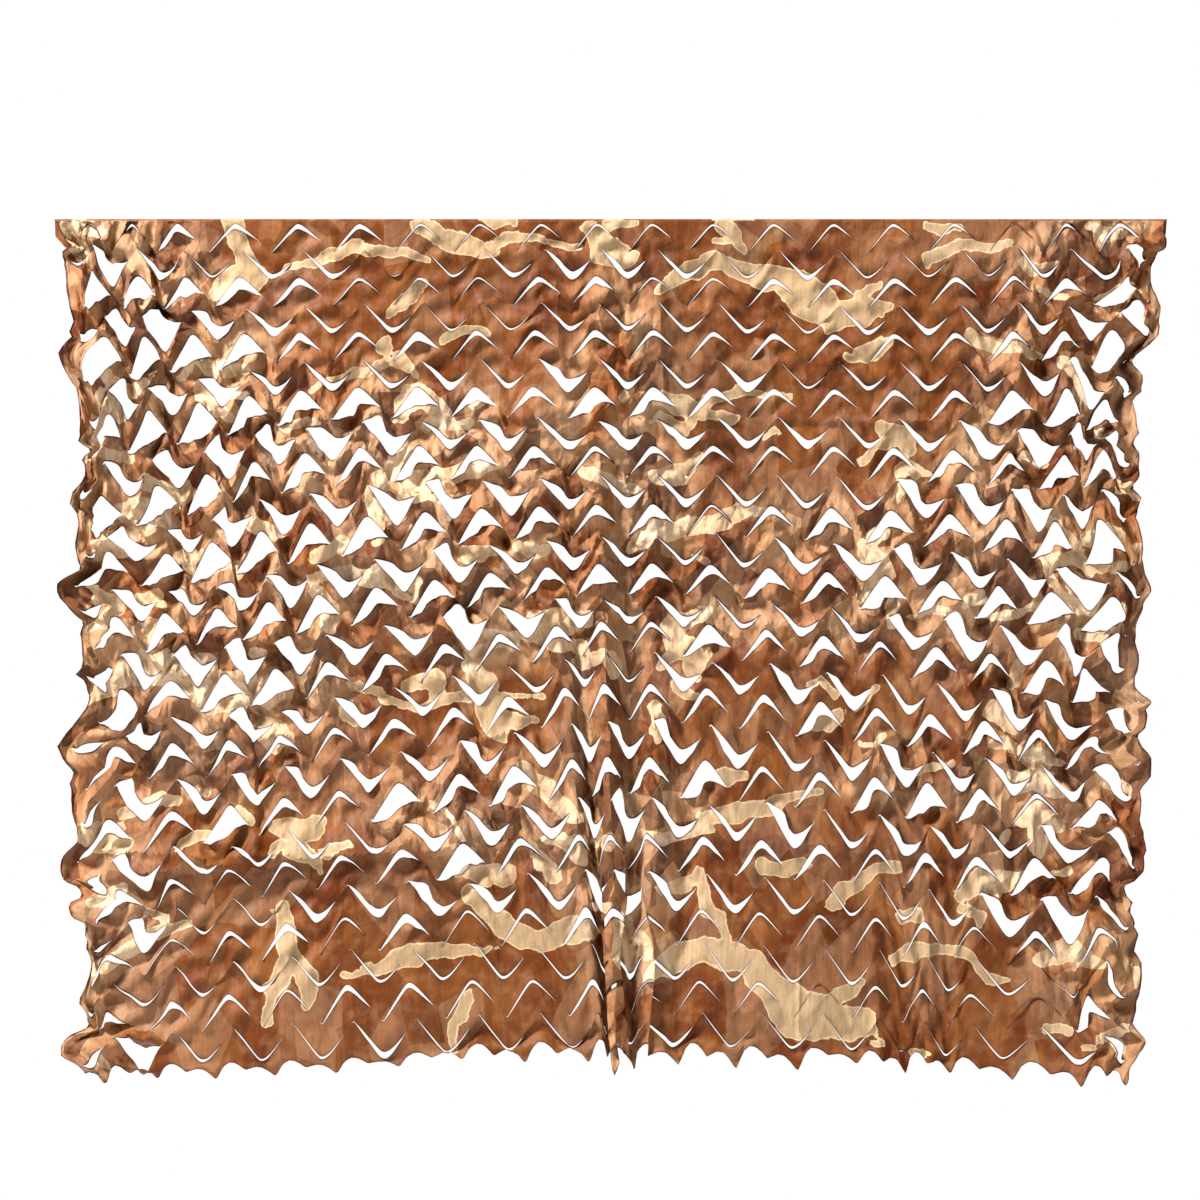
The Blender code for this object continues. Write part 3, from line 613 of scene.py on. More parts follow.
def read_gapes():
    """Gape of each slit in metres, for both kinds, by row and column from -1 on."""
    steps = np.zeros((2, LAST_ROW, LAST_COLUMN + 3))
    for r, (arches, cups) in enumerate(zip(ARCH_GAPES, CUP_GAPES)):
        steps[0, r] = [int(mark, 16) for mark in "0" + arches + arches[-1]]
        steps[1, r] = [int(mark, 16) for mark in cups + cups[-1]]
    margin = near_side(np.arange(LAST_COLUMN + 3) - 1, MARGIN_REACH)
    return CORE_GAPE + GAPE * steps ** GAPE_GROWTH * (1 - MARGIN_SHUT * margin)


SLITS = draw_slits()
GAPES = read_gapes()


def at_slit(kind, row, column):
    """At each place of a line: how far along its slit it lies, the slit's traits, its gape."""
    own = np.floor(column - kind["left"]).astype(int) + 1
    slit = (kind["place"], row, own)
    along = ((column - kind["left"]) % 1.0) / (kind["right"] - kind["left"])
    return along, {name: drawn[slit] for name, drawn in SLITS.items()}, GAPES[slit]


def slit_gap(kind, row, column):
    """Height of the gaps of one kind along a line, and where the line is cut."""
    along, traits, gape = at_slit(kind, row, column)
    inwards = from_side_edge(column)
    cut = (along < 1) & (along > 0) & (inwards > SIDE_BAND)
    corner = traits["corner"] + CUP_CORNER * kind["place"]
    start = BUMP_START * corner
    rise = np.minimum((along - start) / (corner - start), (1 - along) / (1 - corner))
    bump = traits["bump"] * np.clip(rise, 0, 1) * np.clip(gape / BUMP_GAPE, 0, 1)
    full = bow_share(kind, column)
    shape = np.maximum(full - bump, THINNEST * full)
    lean = 1 + traits["lean"] * (1 - 2 * along)
    beside_band = fade(inwards, SIDE_BAND, SIDE_BAND + SIDE_REACH)
    return np.where(cut, gape * traits["amount"] * shape * lean * beside_band, 0.0), cut


def square_end(kind, row, column):
    """How square the left end of each gap of one kind stands open: 0 to 1 along a line."""
    along, traits, gape = at_slit(kind, row, column)
    blunt = np.clip(traits["blunt"], 0, 1) * fade(gape, *SQUARE_GAPES)
    falling = 1 - fade(along, traits["square"], traits["square"] + SQUARE_FALL)
    return np.where((along > SQUARE_TIP) & (along < 1), blunt * falling, 0.0)


def lip_rag(kind, row, column):
    """Small unevenness of a lip where its slit stands open, in metres."""
    _, _, gape = at_slit(kind, row, column)
    apart = 0 * column + row * RAG_ROWS * LIP_RAG_SIZE
    rag = noise(column * PITCH, apart, LIP_RAG_SIZE, kind["rag seed"])
    whole = np.clip(RAG_RISE * bow_share(kind, column), 0, 1)
    return LIP_RAG * rag * fade(gape, *RAG_GAPES) * whole


# ---- Where the cloth hangs ----
def ribbon_lean(across, drop, slope):
    """How far the loose ribbons lean out of the face with their spare length."""
    spare = WAVE * PITCH * np.sqrt(1 - (1 - spot_opening(across, drop) * ARCH["bow"]) ** 2)
    side = FORWARD + (1 - FORWARD) * np.tanh(lumps("tipping", across, drop))
    return LEAN_SHARE * spare * side * (0.5 - slope)


def crease_bulge(across, drop):
    """How far the cloth bulges over the creases that cross the net."""
    out = np.zeros(across.shape)
    for left, right, drop_left, drop_right, overhang, reach in CREASES:
        crease = drop_left + (drop_right - drop_left) * (across - left) / (right - left)
        above = (crease - drop) / reach
        under = np.clip(1 - (drop - crease) / CREASE_UNDER, 0, 1)
        bulge = np.where(above > 0, np.clip(1 - above, 0, 1) ** CREASE_BULGE, under)
        ends = fade(across, left - CREASE_ENDS, left) * fade(-across, -right - CREASE_ENDS, -right)
        out += overhang * bulge * ends
    return out


def stand_out(across, drop, column, row, slope):
    """How far the cloth stands towards the viewer: ribbons, folds, creases and unevenness."""
    calm = CALM + (1 - CALM) * fade(spot_opening(across, drop), SHUT, CALM_END)
    out = calm * (ribbon_lean(across, drop, slope) + lumps("crumple", across, drop))
    out += lumps("drape", across, drop)
    for at, first, last, width, depth in FOLDS:
        out += depth * np.exp(-((column - at) / width) ** 2) * between_rows(row, first, last)
    return out + crease_bulge(across, drop)


def pleat_push(column, row):
    """How far the pleats push the cloth across, and out of the face."""
    across, out = np.zeros(column.shape), np.zeros(column.shape)
    for at, half, first, last, overlap, depth in PLEATS:
        place = (column - at + lumps("pleats", row, 0 * row + PLEAT_STEP * at)) / half
        section = between_rows(row, first, last) * np.interp(place, *PLEAT_SECTION)
        across += overlap * section
        out += depth * section
    return across, out


def side_shift(drop, row, column):
    """How far the nearer side edge stands from where the table of places puts it."""
    shift = []
    for outline, end in zip(read_chains(SIDES), EDGE_COLUMNS):
        drops, across = outline.T
        edge = np.interp(1000 * drop, drops, across) / 1000
        shift.append(edge - place_across(end, row))
    return np.where(column < LAST_COLUMN / 2, *shift)


def edge_tips(column, across_ribbon):
    """How far the ribbon ends at the side edges tip, each about its own middle."""
    ribbon = np.arange(column.shape[0])[:, None, None]
    outwards = np.where(column < LAST_COLUMN / 2, -1.0, 1.0)
    return EDGE_TIP * np.sin(TIP_TURN * ribbon + TIP_LEAN * outwards) * (2 * across_ribbon - 1)


def hang(drop, slope, column, row, across_ribbon):
    """Points of the hung cloth, given how far down the face each lies."""
    across = place_across(column, row)
    free = fade(drop, 0.0, TAUT)
    band = near_side(column, BAND_REACH)
    above_hem = 1 - MARGIN_HEM * fade(row, LAST_ROW - 1, LAST_ROW)
    margin = free * near_side(column, MARGIN_WIDE) * above_hem
    pleat_across, pleat_out = pleat_push(column, row)

    out = stand_out(across, drop, column, row, slope) + pleat_out
    out += band * (edge_tips(column, across_ribbon) + lumps("edge curl", across, drop))
    out += band * lumps("band crumple", across, drop)
    x = across + band * (side_shift(drop, row, column) + free * lumps("edge rag", across, drop))
    x += pleat_across + margin * lumps("margin across", across, drop)
    y = -FOLD_RADIUS - out * free
    z = -drop + margin * lumps("margin down", across, drop)
    return np.stack([x, y, z], axis=-1)


def grid_columns():
    count = round((EDGE_COLUMNS[1] - EDGE_COLUMNS[0]) * STATIONS) + 1
    return np.linspace(*EDGE_COLUMNS, count)


def row_tops():
    """Drop of each arch line's crest on the flat cloth."""
    stops = sorted(ROW_FLAT)
    heights = curve(np.arange(LAST_ROW) + 0.5, stops, [ROW_FLAT[row] for row in stops])
    return FIRST_ROW + np.append(0.0, np.cumsum(heights))


def hem_fall(column):
    """How far the lower edge falls below its crests, in wave heights."""
    stops, falls = zip(*HEM)
    column = column + np.interp(column, *zip(*HEM_SHIFT))
    own = np.clip(np.floor(column).astype(int), -1, LAST_COLUMN)
    return np.interp(column % 1.0, stops, falls) * HEM_TIPS[own + 1]


def lip(*values):
    """One lip across the cloth: its drop, slope, row and drop when flat at each column."""
    return np.stack(np.broadcast_arrays(*values))


def row_lips(row, column, top, flat_height):
    """Upper and lower lips of the two lines of one row, and where each line is cut."""
    crest = crest_drop(column, row)
    height = crest_drop(column, row + 1) - crest
    arch_gap, arch_cut = slit_gap(ARCH, row, column)
    cup_gap, cup_cut = slit_gap(CUP, row, column)
    spare = height - SHORTEST * flat_height
    squeeze = np.minimum(1.0, spare / np.maximum(arch_gap + cup_gap, 1e-6))
    arch_gap, cup_gap = arch_gap * squeeze, cup_gap * squeeze

    wave = WAVE * height
    arch, cup = arch_wave(column), cup_wave(column)
    loose = (height - arch_gap - cup_gap) * (RIBBON + WAVE * (cup - arch))
    most = SQUARE_MOST * np.maximum(loose, 0)
    drawn_down = square_end(ARCH, row, column) * (wave * (ARCH_SQUARE - arch) - arch_gap)
    drawn_up = square_end(CUP, row, column) * CUP_SQUARE * wave * cup
    arch_top = crest + wave * arch
    arch_low = arch_top + arch_gap + np.clip(drawn_down, 0, most) + lip_rag(ARCH, row, column)
    cup_line = arch_top + arch_gap + loose
    cup_top = cup_line - np.clip(drawn_up, 0, most)
    cup_low = cup_line + cup_gap + lip_rag(CUP, row, column)

    arch_flat = top + flat_height * WAVE * arch
    cup_flat = top + flat_height * (RIBBON + WAVE * cup)
    arch_slope, cup_slope = 0.5 + 0.5 * arch, 0.5 * cup
    arch_lean, cup_lean = 0.5 * bow_share(ARCH, column), 0.5 * bow_share(CUP, column)
    upper = [
        lip(arch_top, arch_slope, row, arch_flat),
        lip(cup_top, cup_slope + cup_lean, row + 0.5, cup_flat),
    ]
    lower = [
        lip(arch_low, arch_slope - arch_lean, row, arch_flat),
        lip(cup_low, cup_slope, row + 0.5, cup_flat),
    ]
    return upper, lower, [arch_cut, cup_cut]


def cloth_lips(column):
    """Upper and lower lips of all lines from the fold to the hem, and where lines are cut.

    Each ribbon lies between the lower lip of one line and the upper lip of the next.
    """
    tops = row_tops()
    upper, cuts = [], []
    lower = [lip(0 * column + FOLD_RADIUS, 0.5, 0, FOLD_RADIUS)]
    for row, flat_height in enumerate(np.diff(tops)):
        lips_above, lips_below, cut = row_lips(row, column, tops[row], flat_height)
        upper += lips_above
        lower += lips_below
        cuts += cut
    fall = WAVE * PITCH * hem_fall(column)
    hem = crest_drop(column, LAST_ROW) + fall - np.interp(column, *zip(*HEM_LIFT))
    upper.append(lip(hem, 0.5, LAST_ROW, tops[-1] + fall))
    return np.stack(upper, axis=1), np.stack(lower, axis=1), np.array(cuts)


def cloth_grid():
    """The cloth on its grid: arrays by ribbon, line in the ribbon, and station.

    Returns where the points hang, their places on the flat cloth, where the lines between
    ribbons are cut, the depth of the fine creases, and how loose the cloth is.
    """
    column = grid_columns()
    upper, lower, cuts = cloth_lips(column)
    t = np.linspace(0, 1, INTERVALS + 1)[None, :, None]
    drop, slope, row, flat_drop = lower[:, :, None] + (upper - lower)[:, :, None] * t
    columns = np.broadcast_to(column, drop.shape)
    hung = hang(drop, slope, columns, row, t)
    weld(hung, cuts)
    flat = np.stack([columns * PITCH, -flat_drop], axis=-1)

    across, drop = hung[..., 0], -hung[..., 2]
    loose = looseness(columns, row, across, drop)
    depth = facets(columns, row, t) * (FACET_TAUT + (1 - FACET_TAUT) * loose)
    depth += tents(across, drop) + long_folds(across, drop)
    return hung, flat, cuts, depth * fade(drop, 0.0, FINE_TAUT), loose


# ---- Fine creases ----
def tents(across, drop):
    """Depth of the fine creases: crisp ridges and hollows with flat flanks."""
    depth = np.zeros(across.shape)
    for count, seed, left, right, high, low, turn, spread, length, width, most in TENTS:
        draw = np.random.default_rng(seed)
        for _ in range(count):
            x, z = draw.uniform(left, right), draw.uniform(high, low)
            angle = turn * draw.choice((-1, 1)) + draw.uniform(-spread, spread)
            long = length * draw.uniform(*TENT_LENGTHS)
            wide = width * draw.uniform(*TENT_WIDTHS)
            rise = most * draw.uniform(*TENT_DEPTHS) * draw.choice((-1, 1))
            near = (np.abs(across - x) < long) & (np.abs(drop - z) < long)
            dx, dz = across[near] - x, drop[near] - z
            u = dx * np.cos(angle) + dz * np.sin(angle)
            v = dz * np.cos(angle) - dx * np.sin(angle)
            flank = np.clip(1 - np.abs(v) / wide, 0, 1)
            depth[near] += rise * flank * fade(-np.abs(u), -long, -TENT_RIDGE * long)
    share = fade(spot_opening(across, drop), SHUT, TENTS_OPEN)
    return depth * (TENTS_SHUT + (1 - TENTS_SHUT) * share)


def long_folds(across, drop):
    """Depth of the long crisp folds that cross many ribbons."""
    depth = np.zeros(across.shape)
    x = across + lumps("folds across", across, drop)
    z = drop + lumps("folds down", across, drop)
    for x0, z0, x1, z1, half, rise in LONG_FOLDS:
        run = np.array([x1 - x0, z1 - z0])
        reach = np.hypot(*run)
        along = ((x - x0) * run[0] + (z - z0) * run[1]) / reach
        off = np.abs((z - z0) * run[0] - (x - x0) * run[1]) / reach
        ends = fade(along, 0, LONG_FOLD_ENDS) * fade(reach - along, 0, LONG_FOLD_ENDS)
        depth += rise * np.clip(1 - off / half, 0, 1) * ends
    return depth


def facet_corners(ribbons, count):
    """How far the corners of the facets stand out, and which way each facet is folded."""
    draw = np.random.default_rng(FACET_SEED)
    lower, upper, middle = draw.normal(0, 1, (3, ribbons + 1, count))
    place = np.arange(count) % len(FACET_KEYS)
    for line in range(ribbons + 1):
        inside = np.isin(place, (0, 3) if line % 2 else (1, 2))
        lower[line] = np.where(inside, lower[line], upper[line])
    corners = np.stack([lower[:-1], middle[:-1], upper[1:]], axis=1)
    return corners, draw.random((ribbons, 2, count)) < 0.5


def facets(column, row, t):
    """Depth of the flat facets that the folds from slit end to slit end leave in each ribbon."""
    keys = np.array([c + key for c in range(-2, LAST_COLUMN + 3) for key in FACET_KEYS])
    corners, slant = facet_corners(len(column), len(keys))
    strayed = column + lumps("facets", column, row)
    k = np.searchsorted(keys, strayed) - 1
    u = (strayed - keys[k]) / (keys[k + 1] - keys[k])
    half = np.minimum((2 * t).astype(int), 1)
    v = 2 * t - half
    r = np.arange(len(column))[:, None, None]
    a, b = corners[r, half, k], corners[r, half, k + 1]
    c, d = corners[r, half + 1, k], corners[r, half + 1, k + 1]
    falling = np.where(u > v, a + u * (b - a) + v * (d - b), a + v * (c - a) + u * (d - c))
    near, far = a + u * (b - a) + v * (c - a), d + (1 - u) * (c - d) + (1 - v) * (b - d)
    rising = np.where(u + v < 1, near, far)
    return FACET_DEPTH * np.where(slant[r, half, k], falling, rising)


# ---- Settling ----
def pull(points, moves, rest, step, stiffness, only_push=False):
    """Adds to moves what brings two points, a step apart, back to their flat distance."""
    lines, stations = points.shape[1], points.shape[2]
    step_line, step_station = step
    back, on = max(0, -step_station), max(0, step_station)
    a = (slice(None), slice(0, lines - step_line), slice(back, stations - on))
    b = (slice(None), slice(step_line, lines), slice(on, stations - back))
    between = points[b] - points[a]
    length = np.sqrt((between ** 2).sum(-1))
    target = np.sqrt(((rest[b] - rest[a]) ** 2).sum(-1))
    share = stiffness * 0.5 * (1 - target / np.maximum(length, 1e-9))
    if only_push:
        share = np.minimum(share, 0)
    move = between * share[..., None]
    moves[a] += move
    moves[b] -= move


def weld(points, cuts):
    """Joins the ribbons again wherever the line between them isn't cut."""
    above, below = points[:-1, -1], points[1:, 0]
    middle = 0.5 * (above + below)
    whole = ~cuts[..., None]
    points[:-1, -1] = np.where(whole, middle, above)
    points[1:, 0] = np.where(whole, middle, below)


def even_out(values, cuts):
    """Takes the unevenness of grid scale out of values that lie on the cloth's grid."""
    down = values.copy()
    down[:, 1:-1] = 0.5 * values[:, 1:-1] + 0.25 * (values[:, :-2] + values[:, 2:])
    even = down.copy()
    even[:, :, 1:-1] = 0.5 * down[:, :, 1:-1] + 0.25 * (down[:, :, :-2] + down[:, :, 2:])
    weld(even, cuts)
    return even


def settle(hung, flat, cuts):
    """Lets the cloth find its flat thread lengths again while it stays where it hangs."""
    points, before = hung.copy(), hung.copy()
    top = hung[0, 0].copy()
    hold = np.full(hung.shape, HOLD)
    hold[:-1, -1][cuts] = LIP_HOLD
    hold[1:, 0][cuts] = LIP_HOLD
    for _ in range(SETTLE_ROUNDS):
        points, before = points + MOMENTUM * (points - before), points
        moves = np.zeros_like(points)
        for step in THREADS:
            pull(points, moves, flat, step, 1.0)
        for step in BRACES:
            pull(points, moves, flat, step, BRACE_STIFFNESS, only_push=True)
        points = points + SETTLE_STEP * moves + hold * (hung - points)
        weld(points, cuts)
        points[0, 0] = top
    return hung + even_out(points - hung, cuts)


def ease_depth(y):
    """Depth as it is near the face, and ever less of what goes beyond STRAIGHT_DEPTH."""
    past = np.maximum(np.abs(y) - STRAIGHT_DEPTH, 0)
    return y - np.sign(y) * (past - SPARE_DEPTH * np.tanh(past / SPARE_DEPTH))


# ---- What the material reads off the cloth ----
def print_distance(across, drop):
    """How far inside the tan print a place lies; below 0 on the brown ground."""
    x = across + lumps("print across", across, drop) + lumps("fine print across", across, drop)
    z = drop + lumps("print down", across, drop) + lumps("fine print down", across, drop)
    inside = np.full(across.shape, -PRINT_REACH)
    for chain in read_chains(BLOTCHES):
        knots = chain / 1000
        for a, b in zip(knots, knots[1:] if len(knots) > 1 else knots):
            step = b[:2] - a[:2]
            t = ((x - a[0]) * step[0] + (z - a[1]) * step[1]) / max(step @ step, 1e-9)
            t = np.clip(t, 0, 1)
            away = np.hypot(x - a[0] - t * step[0], z - a[1] - t * step[1])
            inside = np.maximum(inside, a[2] + t * (b[2] - a[2]) - away)
    return np.minimum(inside, PRINT_REACH)


def lip_distance(points, cuts):
    """How far each point is from the nearest cut edge of its ribbon, in metres."""
    steps = np.sqrt((np.diff(points, axis=1) ** 2).sum(-1))
    down = np.concatenate([np.zeros_like(steps[:, :1]), np.cumsum(steps, axis=1)], axis=1)
    up = down[:, -1:] - down
    none = np.zeros_like(cuts[:1])
    above = np.concatenate([none, cuts])[:, None]
    below = np.concatenate([cuts, ~none])[:, None]
    near = np.minimum(np.where(above, down, 1.0), np.where(below, up, 1.0))
    station = np.arange(points.shape[2])
    side = np.minimum(station, station[::-1]) * PITCH / STATIONS
    return np.minimum(np.minimum(near, side), LIP_REACH)


# ---- Mesh ----
def number_points(cuts, shape):
    """A vertex number for each grid point: ribbons share theirs where the line isn't cut."""
    number = np.arange(np.prod(shape)).reshape(shape)
    for r, cut in enumerate(cuts):
        number[r + 1, 0] = np.where(cut, number[r + 1, 0], number[r, -1])
    used, compact = np.unique(number, return_inverse=True)
    return used, compact.reshape(shape)


def first_slits(column):
    """Drop of the uppermost line of slits, which the end of the flap keeps above."""
    crest = crest_drop(column, 0)
    return crest + WAVE * (crest_drop(column, 1) - crest) * arch_wave(column)


def top_fold(column):
    """Points and flat places of the fold over the line and the flap behind, from the front on."""
    across = place_across(column, 0)
    flap_end = FLAP_DROP * (1 + lumps("flap end", across, across))
    flap_end = np.minimum(flap_end, first_slits(column) - FLAP_CLEAR)
    points, flats = [], []
    for turn in np.linspace(0, np.pi, FOLD_STEPS + 1)[1:]:
        y = -FOLD_RADIUS * np.cos(turn) + 0 * across
        z = -FOLD_RADIUS + FOLD_RADIUS * np.sin(turn) + 0 * across
        points.append(np.stack([across, y, z], axis=-1))
        flats.append(np.stack([column * PITCH, FOLD_RADIUS * turn + 0 * across], axis=-1))
    for share in np.linspace(0, 1, FLAP_STEPS + 1)[1:]:
        y = FOLD_RADIUS + share * (FLAP_LEAN - FOLD_RADIUS + lumps("flap", across, across))
        drop = FOLD_RADIUS + (flap_end - FOLD_RADIUS) * share
        points.append(np.stack([across, y, -drop], axis=-1))
        flats.append(np.stack([column * PITCH, FOLD_RADIUS * np.pi + drop], axis=-1))
    return np.array(points), np.array(flats)


def quads(number):
    """Faces between neighbouring lines of a block of numbered points, facing the viewer."""
    a, b = number[..., :-1, :-1], number[..., :-1, 1:]
    c, d = number[..., 1:, 1:], number[..., 1:, :-1]
    return np.stack([a, d, c, b], axis=-1).reshape(-1, 4)


def split(faces, points):
    """Halves each face along its shorter diagonal, so that slanting folds stay clean."""
    one = ((points[faces[:, 0]] - points[faces[:, 2]]) ** 2).sum(-1)
    other = ((points[faces[:, 1]] - points[faces[:, 3]]) ** 2).sum(-1)
    short = (one <= other)[:, None]
    first = np.where(short, faces[:, [0, 1, 2]], faces[:, [0, 1, 3]])
    second = np.where(short, faces[:, [0, 2, 3]], faces[:, [1, 2, 3]])
    return np.concatenate([first, second])


def fold_marks(fold):
    """What the material reads off the fold and the flap; only the flap's end is a cut edge."""
    lip_away = np.full(fold.shape[:2], LIP_REACH)
    lip_away[-1] = 0
    return {
        "blotch": print_distance(fold[..., 0], fold[..., 2]),
        "lip": lip_away,
        "loose": np.zeros(fold.shape[:2]),
    }


def cloth_mesh(points, faces, places, marks):
    """A mesh with its places on the flat cloth as UV map and its marks as attributes."""
    mesh = bpy.data.meshes.new(PIECE)
    mesh.from_pydata(points.tolist(), [], faces.tolist())
    mesh.update()
    mesh.shade_smooth()
    mesh.set_sharp_from_angle(angle=SHARP_FOLD)
    corner = np.zeros(len(mesh.loops), int)
    mesh.loops.foreach_get("vertex_index", corner)
    mesh.uv_layers.new(name=FLAT).data.foreach_set("uv", places[corner].ravel())
    for name, values in marks.items():
        layer = mesh.attributes.new(name, "FLOAT", "POINT")
        layer.data.foreach_set("value", values.astype(np.float32))
    return mesh


def build_cloth():
    hung, flat, cuts, depth, loose = cloth_grid()
    points = settle(hung, flat, cuts)
    points[..., 1] = ease_depth(points[..., 1] - depth)
    weld(points, cuts)
    fold, fold_flat = top_fold(grid_columns())

    used, number = number_points(cuts, depth.shape)
    fold_number = np.arange(fold[..., 0].size).reshape(fold.shape[:2]) + len(used)
    faces = [quads(number), quads(np.concatenate([number[0, :1], fold_number])[::-1])]
    vertices = np.concatenate([points.reshape(-1, 3)[used], fold.reshape(-1, 3)])
    places = np.concatenate([flat.reshape(-1, 2)[used], fold_flat.reshape(-1, 2)])
    marks = {
        "blotch": print_distance(hung[..., 0], -hung[..., 2]),
        "lip": lip_distance(points, cuts),
        "loose": loose,
    }
    for name, values in fold_marks(fold).items():
        marks[name] = np.concatenate([marks[name].ravel()[used], values.ravel()])
    mesh = cloth_mesh(vertices, split(np.concatenate(faces), vertices), places, marks)
    cloth = bpy.data.objects.new(PIECE, mesh)
    bpy.context.scene.collection.objects.link(cloth)
    return cloth


# ---- Material ----
def add_node(tree, kind, inputs, **settings):
    """Adds a node; inputs are sockets or values, by the name or the number of the input."""
    node = tree.nodes.new("ShaderNode" + kind)
    for name, value in settings.items():
        setattr(node, name, value)
    for key, value in inputs.items():
        if isinstance(value, bpy.types.NodeSocket):
            tree.links.new(value, node.inputs[key])
        else:
            node.inputs[key].default_value = value
    return node


def linear(colour):
    """A colour given as 0 to 255 sRGB, as the linear values that nodes take."""
    c = np.array(colour) / 255
    c = np.where(c <= 0.04045, c / 12.92, ((c + 0.055) / 1.055) ** 2.4)
    return (*c, 1.0)


class ClothNodes:
    """The nodes of the printed cloth. Each method adds some and returns their result."""

    def __init__(self, tree):
        self.tree = tree
        self.place = self.add("UVMap", "UV", {}, uv_map=FLAT)
        self.slanted = self.mapped(Rotation=(0, 0, SLANT), Scale=(1, STRETCH, 1))
        self.blotch = self.attribute("blotch")
        self.lip = self.attribute("lip")
        self.loose = self.attribute("loose")
        self.wide = self.noise(9.0)
        self.middle = self.noise(42.0, 4.0)
        self.fine = self.noise(260.0)
        self.streaks = self.noise(70.0, 5.0, noise_type="RIDGED_MULTIFRACTAL", distort=0.6)
        self.patches = self.cells(PATCHES)
        self.wide_facets = self.cells(WIDE_FACETS)
        self.fine_facets = self.cells(FINE_FACETS)

    def add(self, kind, output, inputs, **settings):
        return add_node(self.tree, kind, inputs, **settings).outputs[output]

    def mapped(self, **mapping):
        return self.add("Mapping", "Vector", {"Vector": self.place, **mapping})

    def attribute(self, name):
        return self.add("Attribute", "Fac", {}, attribute_name=name)

    def noise(self, scale, detail=3.0, noise_type="FBM", distort=0.0, where=None):
        inputs = {"Vector": where or self.place, "Scale": scale, "Detail": detail}
        inputs["Distortion"] = distort
        return self.add("TexNoise", "Fac", inputs, noise_type=noise_type)

    def cells(self, scale, feature="F1", output="Color"):
        inputs = {"Vector": self.slanted, "Scale": scale}
        return self.add("TexVoronoi", output, inputs, voronoi_dimensions="2D", feature=feature)

    def threads(self, direction):
        inputs = {"Vector": self.place, "Scale": WEAVE}
        return self.add("TexWave", "Fac", inputs, bands_direction=direction)

    def ramp(self, value, first, last, start=0.0, end=1.0):
        """Smooth change from start to end, as the value goes from first to last."""
        inputs = {"Value": value, "From Min": first, "From Max": last}
        inputs |= {"To Min": start, "To Max": end}
        return self.add("MapRange", "Result", inputs, interpolation_type="SMOOTHSTEP")

    def math(self, operation, a, b):
        return self.add("Math", 0, {0: a, 1: b}, operation=operation)

    def product(self, a, b):
        return self.math("MULTIPLY", a, b)

    def mix(self, share, a, b, blend="MIX"):
        """A share of b over a; each is a socket or a name in COLOURS."""
        a, b = (linear(COLOURS[c]) if isinstance(c, str) else c for c in (a, b))
        return self.add("Mix", 2, {0: share, 6: a, 7: b}, data_type="RGBA", blend_type=blend)

    def tip(self, normal, cell, reach, share):
        """The normal tipped sideways and up or down by the same amount all over each cell."""
        inputs = {0: cell, 1: (reach, 0, reach), 2: (-reach / 2, 0, -reach / 2)}
        side = self.add("VectorMath", 0, inputs, operation="MULTIPLY_ADD")
        side = self.add("VectorMath", 0, {0: side, "Scale": share}, operation="SCALE")
        return self.add("VectorMath", 0, {0: normal, 1: side}, operation="ADD")

    def bump(self, strength, distance, height, normal):
        inputs = {"Strength": strength, "Distance": distance, "Height": height, "Normal": normal}
        return self.add("Bump", "Normal", inputs)

    def ground(self):
        """The brown ground: darker as painted shade where the cloth is taut, paler as painted
        light where it hangs loose, with painted highlight, shade and sheen patches and painted
        highlight streaks.
        """
        shade = self.ramp(self.wide, 0.34, 0.66)
        taut = self.mix(shade, "painted shade taut dark", "painted shade taut pale")
        hanging = self.mix(shade, "painted light hanging dark", "painted light hanging pale")
        # painted light and shade: the ground is darker on taut cloth and paler where it hangs
        # loose
        ground = self.mix(self.ramp(self.loose, 0.0, 0.7), taut, hanging)
        # painted highlight on the patch cells where loose cloth catches the light
        light = self.ramp(self.patches, 0.42, 0.72, 0.0, 0.45)
        light = self.product(self.ramp(self.loose, 0.0, 0.7, 0.38, 1.0), light)
        ground = self.mix(light, ground, "painted highlight cells")
        # painted shade on the facet cells
        dark = self.ramp(self.wide_facets, 0.54, 0.28, 0.0, 0.72)
        dark = self.product(self.ramp(self.loose, 0.0, 0.7, 0.5, 1.0), dark)
        ground = self.mix(dark, ground, "painted shade cells")
        # painted sheen in pale patches
        ground = self.mix(self.ramp(self.middle, 0.45, 0.80, 0.0, 0.22), ground, "painted sheen")
        # painted highlight along the streaks on loose cloth
        streaks = self.product(self.loose, self.ramp(self.streaks, 0.5, 1.4, 0.0, 0.30))
        return self.mix(streaks, ground, "streaks")

    def tan(self):
        """The tan of the print, with painted sheen and painted highlight patches, and duller as
        painted shade where the cloth is taut.
        """
        tan = self.mix(self.ramp(self.wide, 0.35, 0.65), "dark tan", "pale tan")
        # painted sheen in pale patches
        tan = self.mix(self.ramp(self.middle, 0.42, 0.75, 0.0, 0.4), tan, "painted sheen on tan")
        # painted highlight on the patch cells
        tan = self.mix(self.ramp(self.patches, 0.35, 0.85, 0.0, 0.35), tan, "painted highlight on tan")
        # painted shade: duller tan on taut cloth
        return self.mix(self.ramp(self.loose, 0.0, 0.6, 0.85, 0.0), tan, "painted shade for tan on taut cloth")

    def printed(self):
        """Tan blotches on the ground, with a pale line inside their outline."""
        uneven = self.math("SUBTRACT", self.noise(55.0, 2.0), 0.5)
        inside = self.math("ADD", self.blotch, self.product(uneven, OUTLINE_RAG))
        line = self.ramp(inside, 0.0010, 0.0032, 1.0, 0.0)
        line = self.product(self.ramp(inside, -0.0006, 0.0002), line)
        line = self.product(line, self.ramp(self.loose, 0.0, 0.8, 0.50, 0.20))
        colour = self.mix(self.ramp(inside, -0.0004, 0.0004), self.ground(), self.tan())
        return self.mix(line, colour, "print outline")

